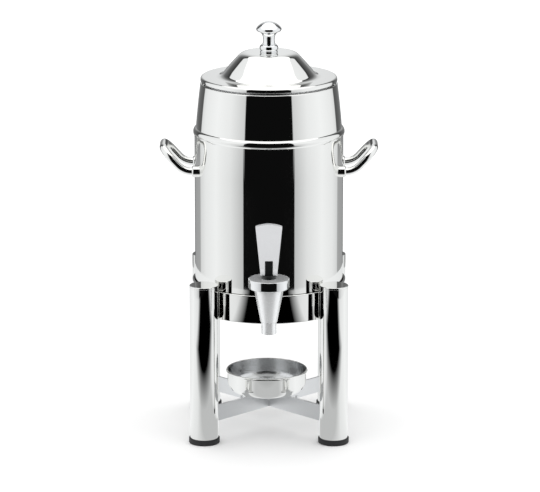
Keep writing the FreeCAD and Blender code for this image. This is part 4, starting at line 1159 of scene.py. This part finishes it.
class COFFEE_URN_OT_stage(bpy.types.Operator):
    """Set the floor, the studio light, the tent and mat that the polish mirrors, and the camera"""

    bl_idname = "coffee_urn.stage"
    bl_label = "Stage"

    def execute(self, context):
        self.lay_floor(context)
        self.light_studio(context)
        self.stand_cards()
        self.place_camera(context)
        return {"FINISHED"}

    def lay_floor(self, context):
        clear_selection()
        bpy.ops.mesh.primitive_plane_add(size=FLOOR_WIDTH)
        floor = bpy.context.object
        floor.name = "floor"
        material = start_material("painted_floor", context.scene.urn_finishes.floor, 0, 0.9)[0]
        shader = material.node_tree.nodes["Principled BSDF"]
        shader.inputs["Specular IOR Level"].default_value = 0
        floor.data.materials.append(material)

    def light_studio(self, context):
        world = bpy.data.worlds.new("studio_white")
        world.use_nodes = True
        light = world.node_tree.nodes["Background"]
        light.inputs["Color"].default_value = (1, 1, 1, 1)
        light.inputs["Strength"].default_value = WORLD_STRENGTH
        context.scene.world = world
        context.scene.view_settings.view_transform = "Standard"

    def stand_cards(self):
        """A round tent and a mat that only show as reflections."""
        clear_selection()
        bpy.ops.mesh.primitive_cylinder_add(vertices=CARD_SIDES, radius=TENT_RADIUS, depth=TENT_HEIGHT,
                                            end_fill_type="NOTHING", location=(0, 0, TENT_MIDDLE))
        tent = bpy.context.object
        tent.name = "tent"
        settle(tent, tent.location.copy())
        self.show_as_reflection(tent, self.tent_glow())
        bpy.ops.mesh.primitive_circle_add(vertices=CARD_SIDES, radius=MAT_RADIUS, fill_type="NGON",
                                          location=(0, 0, MAT_LIFT))
        mat = bpy.context.object
        mat.name = "mat"
        settle(mat, mat.location.copy())
        self.show_as_reflection(mat, self.mat_glow())

    def show_as_reflection(self, card, material):
        card.data.materials.append(material)
        card.visible_camera = False
        card.visible_diffuse = False
        card.visible_shadow = False

    def start_glow(self, name):
        material = bpy.data.materials.new(name)
        material.use_nodes = True
        tree = material.node_tree
        glow = add_node(tree, "ShaderNodeEmission")
        tree.links.new(glow.outputs["Emission"], tree.nodes["Material Output"].inputs["Surface"])
        return material, tree, glow

    def angle_from_front(self, tree):
        """Nodes for a point's place, and for its angle from the front as a part of a half turn."""
        coords = add_node(tree, "ShaderNodeTexCoord")
        place = add_node(tree, "ShaderNodeSeparateXYZ", None, {"Vector": (coords, "Object")})
        aside = add_node(tree, "ShaderNodeMath", None, {0: (place, "X")}, operation="ABSOLUTE")
        ahead = add_node(tree, "ShaderNodeMath", {1: -1}, {0: (place, "Y")}, operation="MULTIPLY")
        angle = add_node(tree, "ShaderNodeMath", None, {0: (aside, "Value"), 1: (ahead, "Value")},
                         operation="ARCTAN2")
        half_turn = add_node(tree, "ShaderNodeMath", {1: math.pi}, {0: (angle, "Value")}, operation="DIVIDE")
        return place, half_turn

    def fade(self, tree, source, output, span):
        """A node that goes from 0 to 1 over a span of a value."""
        return add_node(tree, "ShaderNodeMapRange", {"From Min": span[0], "From Max": span[1]},
                        {"Value": (source, output)})

    def mat_glow(self):
        """Grey round the stand and paler at its sides, with black towards the camera."""
        material, tree, glow = self.start_glow("mat")
        place, half_turn = self.angle_from_front(tree)
        greys = self.panels(tree, half_turn, FLOOR_PANELS)
        aside = add_node(tree, "ShaderNodeMath", None, {0: (place, "X")}, operation="ABSOLUTE")
        sides = self.fade(tree, aside, "Value", MAT_SIDES)
        near = self.fade(tree, place, "Y", MAT_NEAR)
        pale = add_node(tree, "ShaderNodeMath", None, {0: (sides, "Result"), 1: (near, "Result")},
                        operation="MAXIMUM")
        tree.links.new(greys.outputs["Color"], glow.inputs["Color"])
        tree.links.new(pale.outputs["Value"], glow.inputs["Strength"])
        return material

    def tent_glow(self):
        """Black in front, pale at the sides and slate behind, with a bright top at the back."""
        material, tree, glow = self.start_glow("tent")
        place, half_turn = self.angle_from_front(tree)
        low = self.panels(tree, half_turn, LOW_PANELS)
        high = self.panels(tree, half_turn, HIGH_PANELS)
        top = self.panels(tree, half_turn, TOP_PANELS)
        rise = self.fade(tree, place, "Z", TENT_RISE)
        crest = self.fade(tree, place, "Z", TENT_CREST)
        walls = add_node(tree, "ShaderNodeMix", None,
                         {0: (rise, "Result"), 6: (low, "Color"), 7: (high, "Color")}, data_type="RGBA")
        whole = add_node(tree, "ShaderNodeMix", None,
                         {0: (crest, "Result"), 6: (walls, 2), 7: (top, "Color")}, data_type="RGBA")
        tree.links.new(whole.outputs[2], glow.inputs["Color"])
        return material

    def panels(self, tree, half_turn, stops):
        """A ramp of grey levels over the angle from the front to the back."""
        ramp = add_node(tree, "ShaderNodeValToRGB", None, {"Fac": (half_turn, "Value")})
        points = ramp.color_ramp.elements
        for degrees, level in stops:
            point = points.new(degrees / 180)
            point.color = (*[level * share for share in PANEL_TINT], 1)
        points.remove(points[0])
        points.remove(points[len(points) - 1])
        return ramp

    def place_camera(self, context):
        camera = bpy.data.objects.new("camera", bpy.data.cameras.new("camera"))
        context.collection.objects.link(camera)
        camera.location = CAMERA_PLACE
        camera.rotation_euler = (math.pi / 2 - CAMERA_DOWN, 0, 0)
        camera.data.lens = CAMERA_LENS
        camera.data.sensor_width = SENSOR_WIDTH
        context.scene.camera = camera


class COFFEE_URN_PT_panel(bpy.types.Panel):
    """Lists the urn's pieces in the sidebar"""

    bl_label = "Coffee Urn"
    bl_idname = "COFFEE_URN_PT_panel"
    bl_space_type = "VIEW_3D"
    bl_region_type = "UI"
    bl_category = "Coffee Urn"

    def draw(self, context):
        for step in STEPS:
            self.layout.operator(step.bl_idname)


SIZE_GROUPS = {
    "urn_vessel": VesselSizes,
    "urn_lid": LidSizes,
    "urn_faucet": FaucetSizes,
    "urn_stand": StandSizes,
    "urn_finishes": Finishes,
}
STEPS = (
    COFFEE_URN_OT_vessel,
    COFFEE_URN_OT_handles,
    COFFEE_URN_OT_ferrules,
    COFFEE_URN_OT_lid,
    COFFEE_URN_OT_faucet,
    COFFEE_URN_OT_lever,
    COFFEE_URN_OT_legs,
    COFFEE_URN_OT_ring,
    COFFEE_URN_OT_bowl,
    COFFEE_URN_OT_fittings,
    COFFEE_URN_OT_stage,
)


def register():
    for group in (*SIZE_GROUPS.values(), *STEPS, COFFEE_URN_PT_panel):
        bpy.utils.register_class(group)
    for name, group in SIZE_GROUPS.items():
        setattr(bpy.types.Scene, name, PointerProperty(type=group))


def unregister():
    for name in SIZE_GROUPS:
        delattr(bpy.types.Scene, name)
    for group in reversed((*SIZE_GROUPS.values(), *STEPS, COFFEE_URN_PT_panel)):
        bpy.utils.unregister_class(group)


def main():
    register()
    for step in STEPS:
        group, name = step.bl_idname.split(".")
        getattr(getattr(bpy.ops, group), name)()
    clear_selection()


if __name__ == "__main__":
    main()
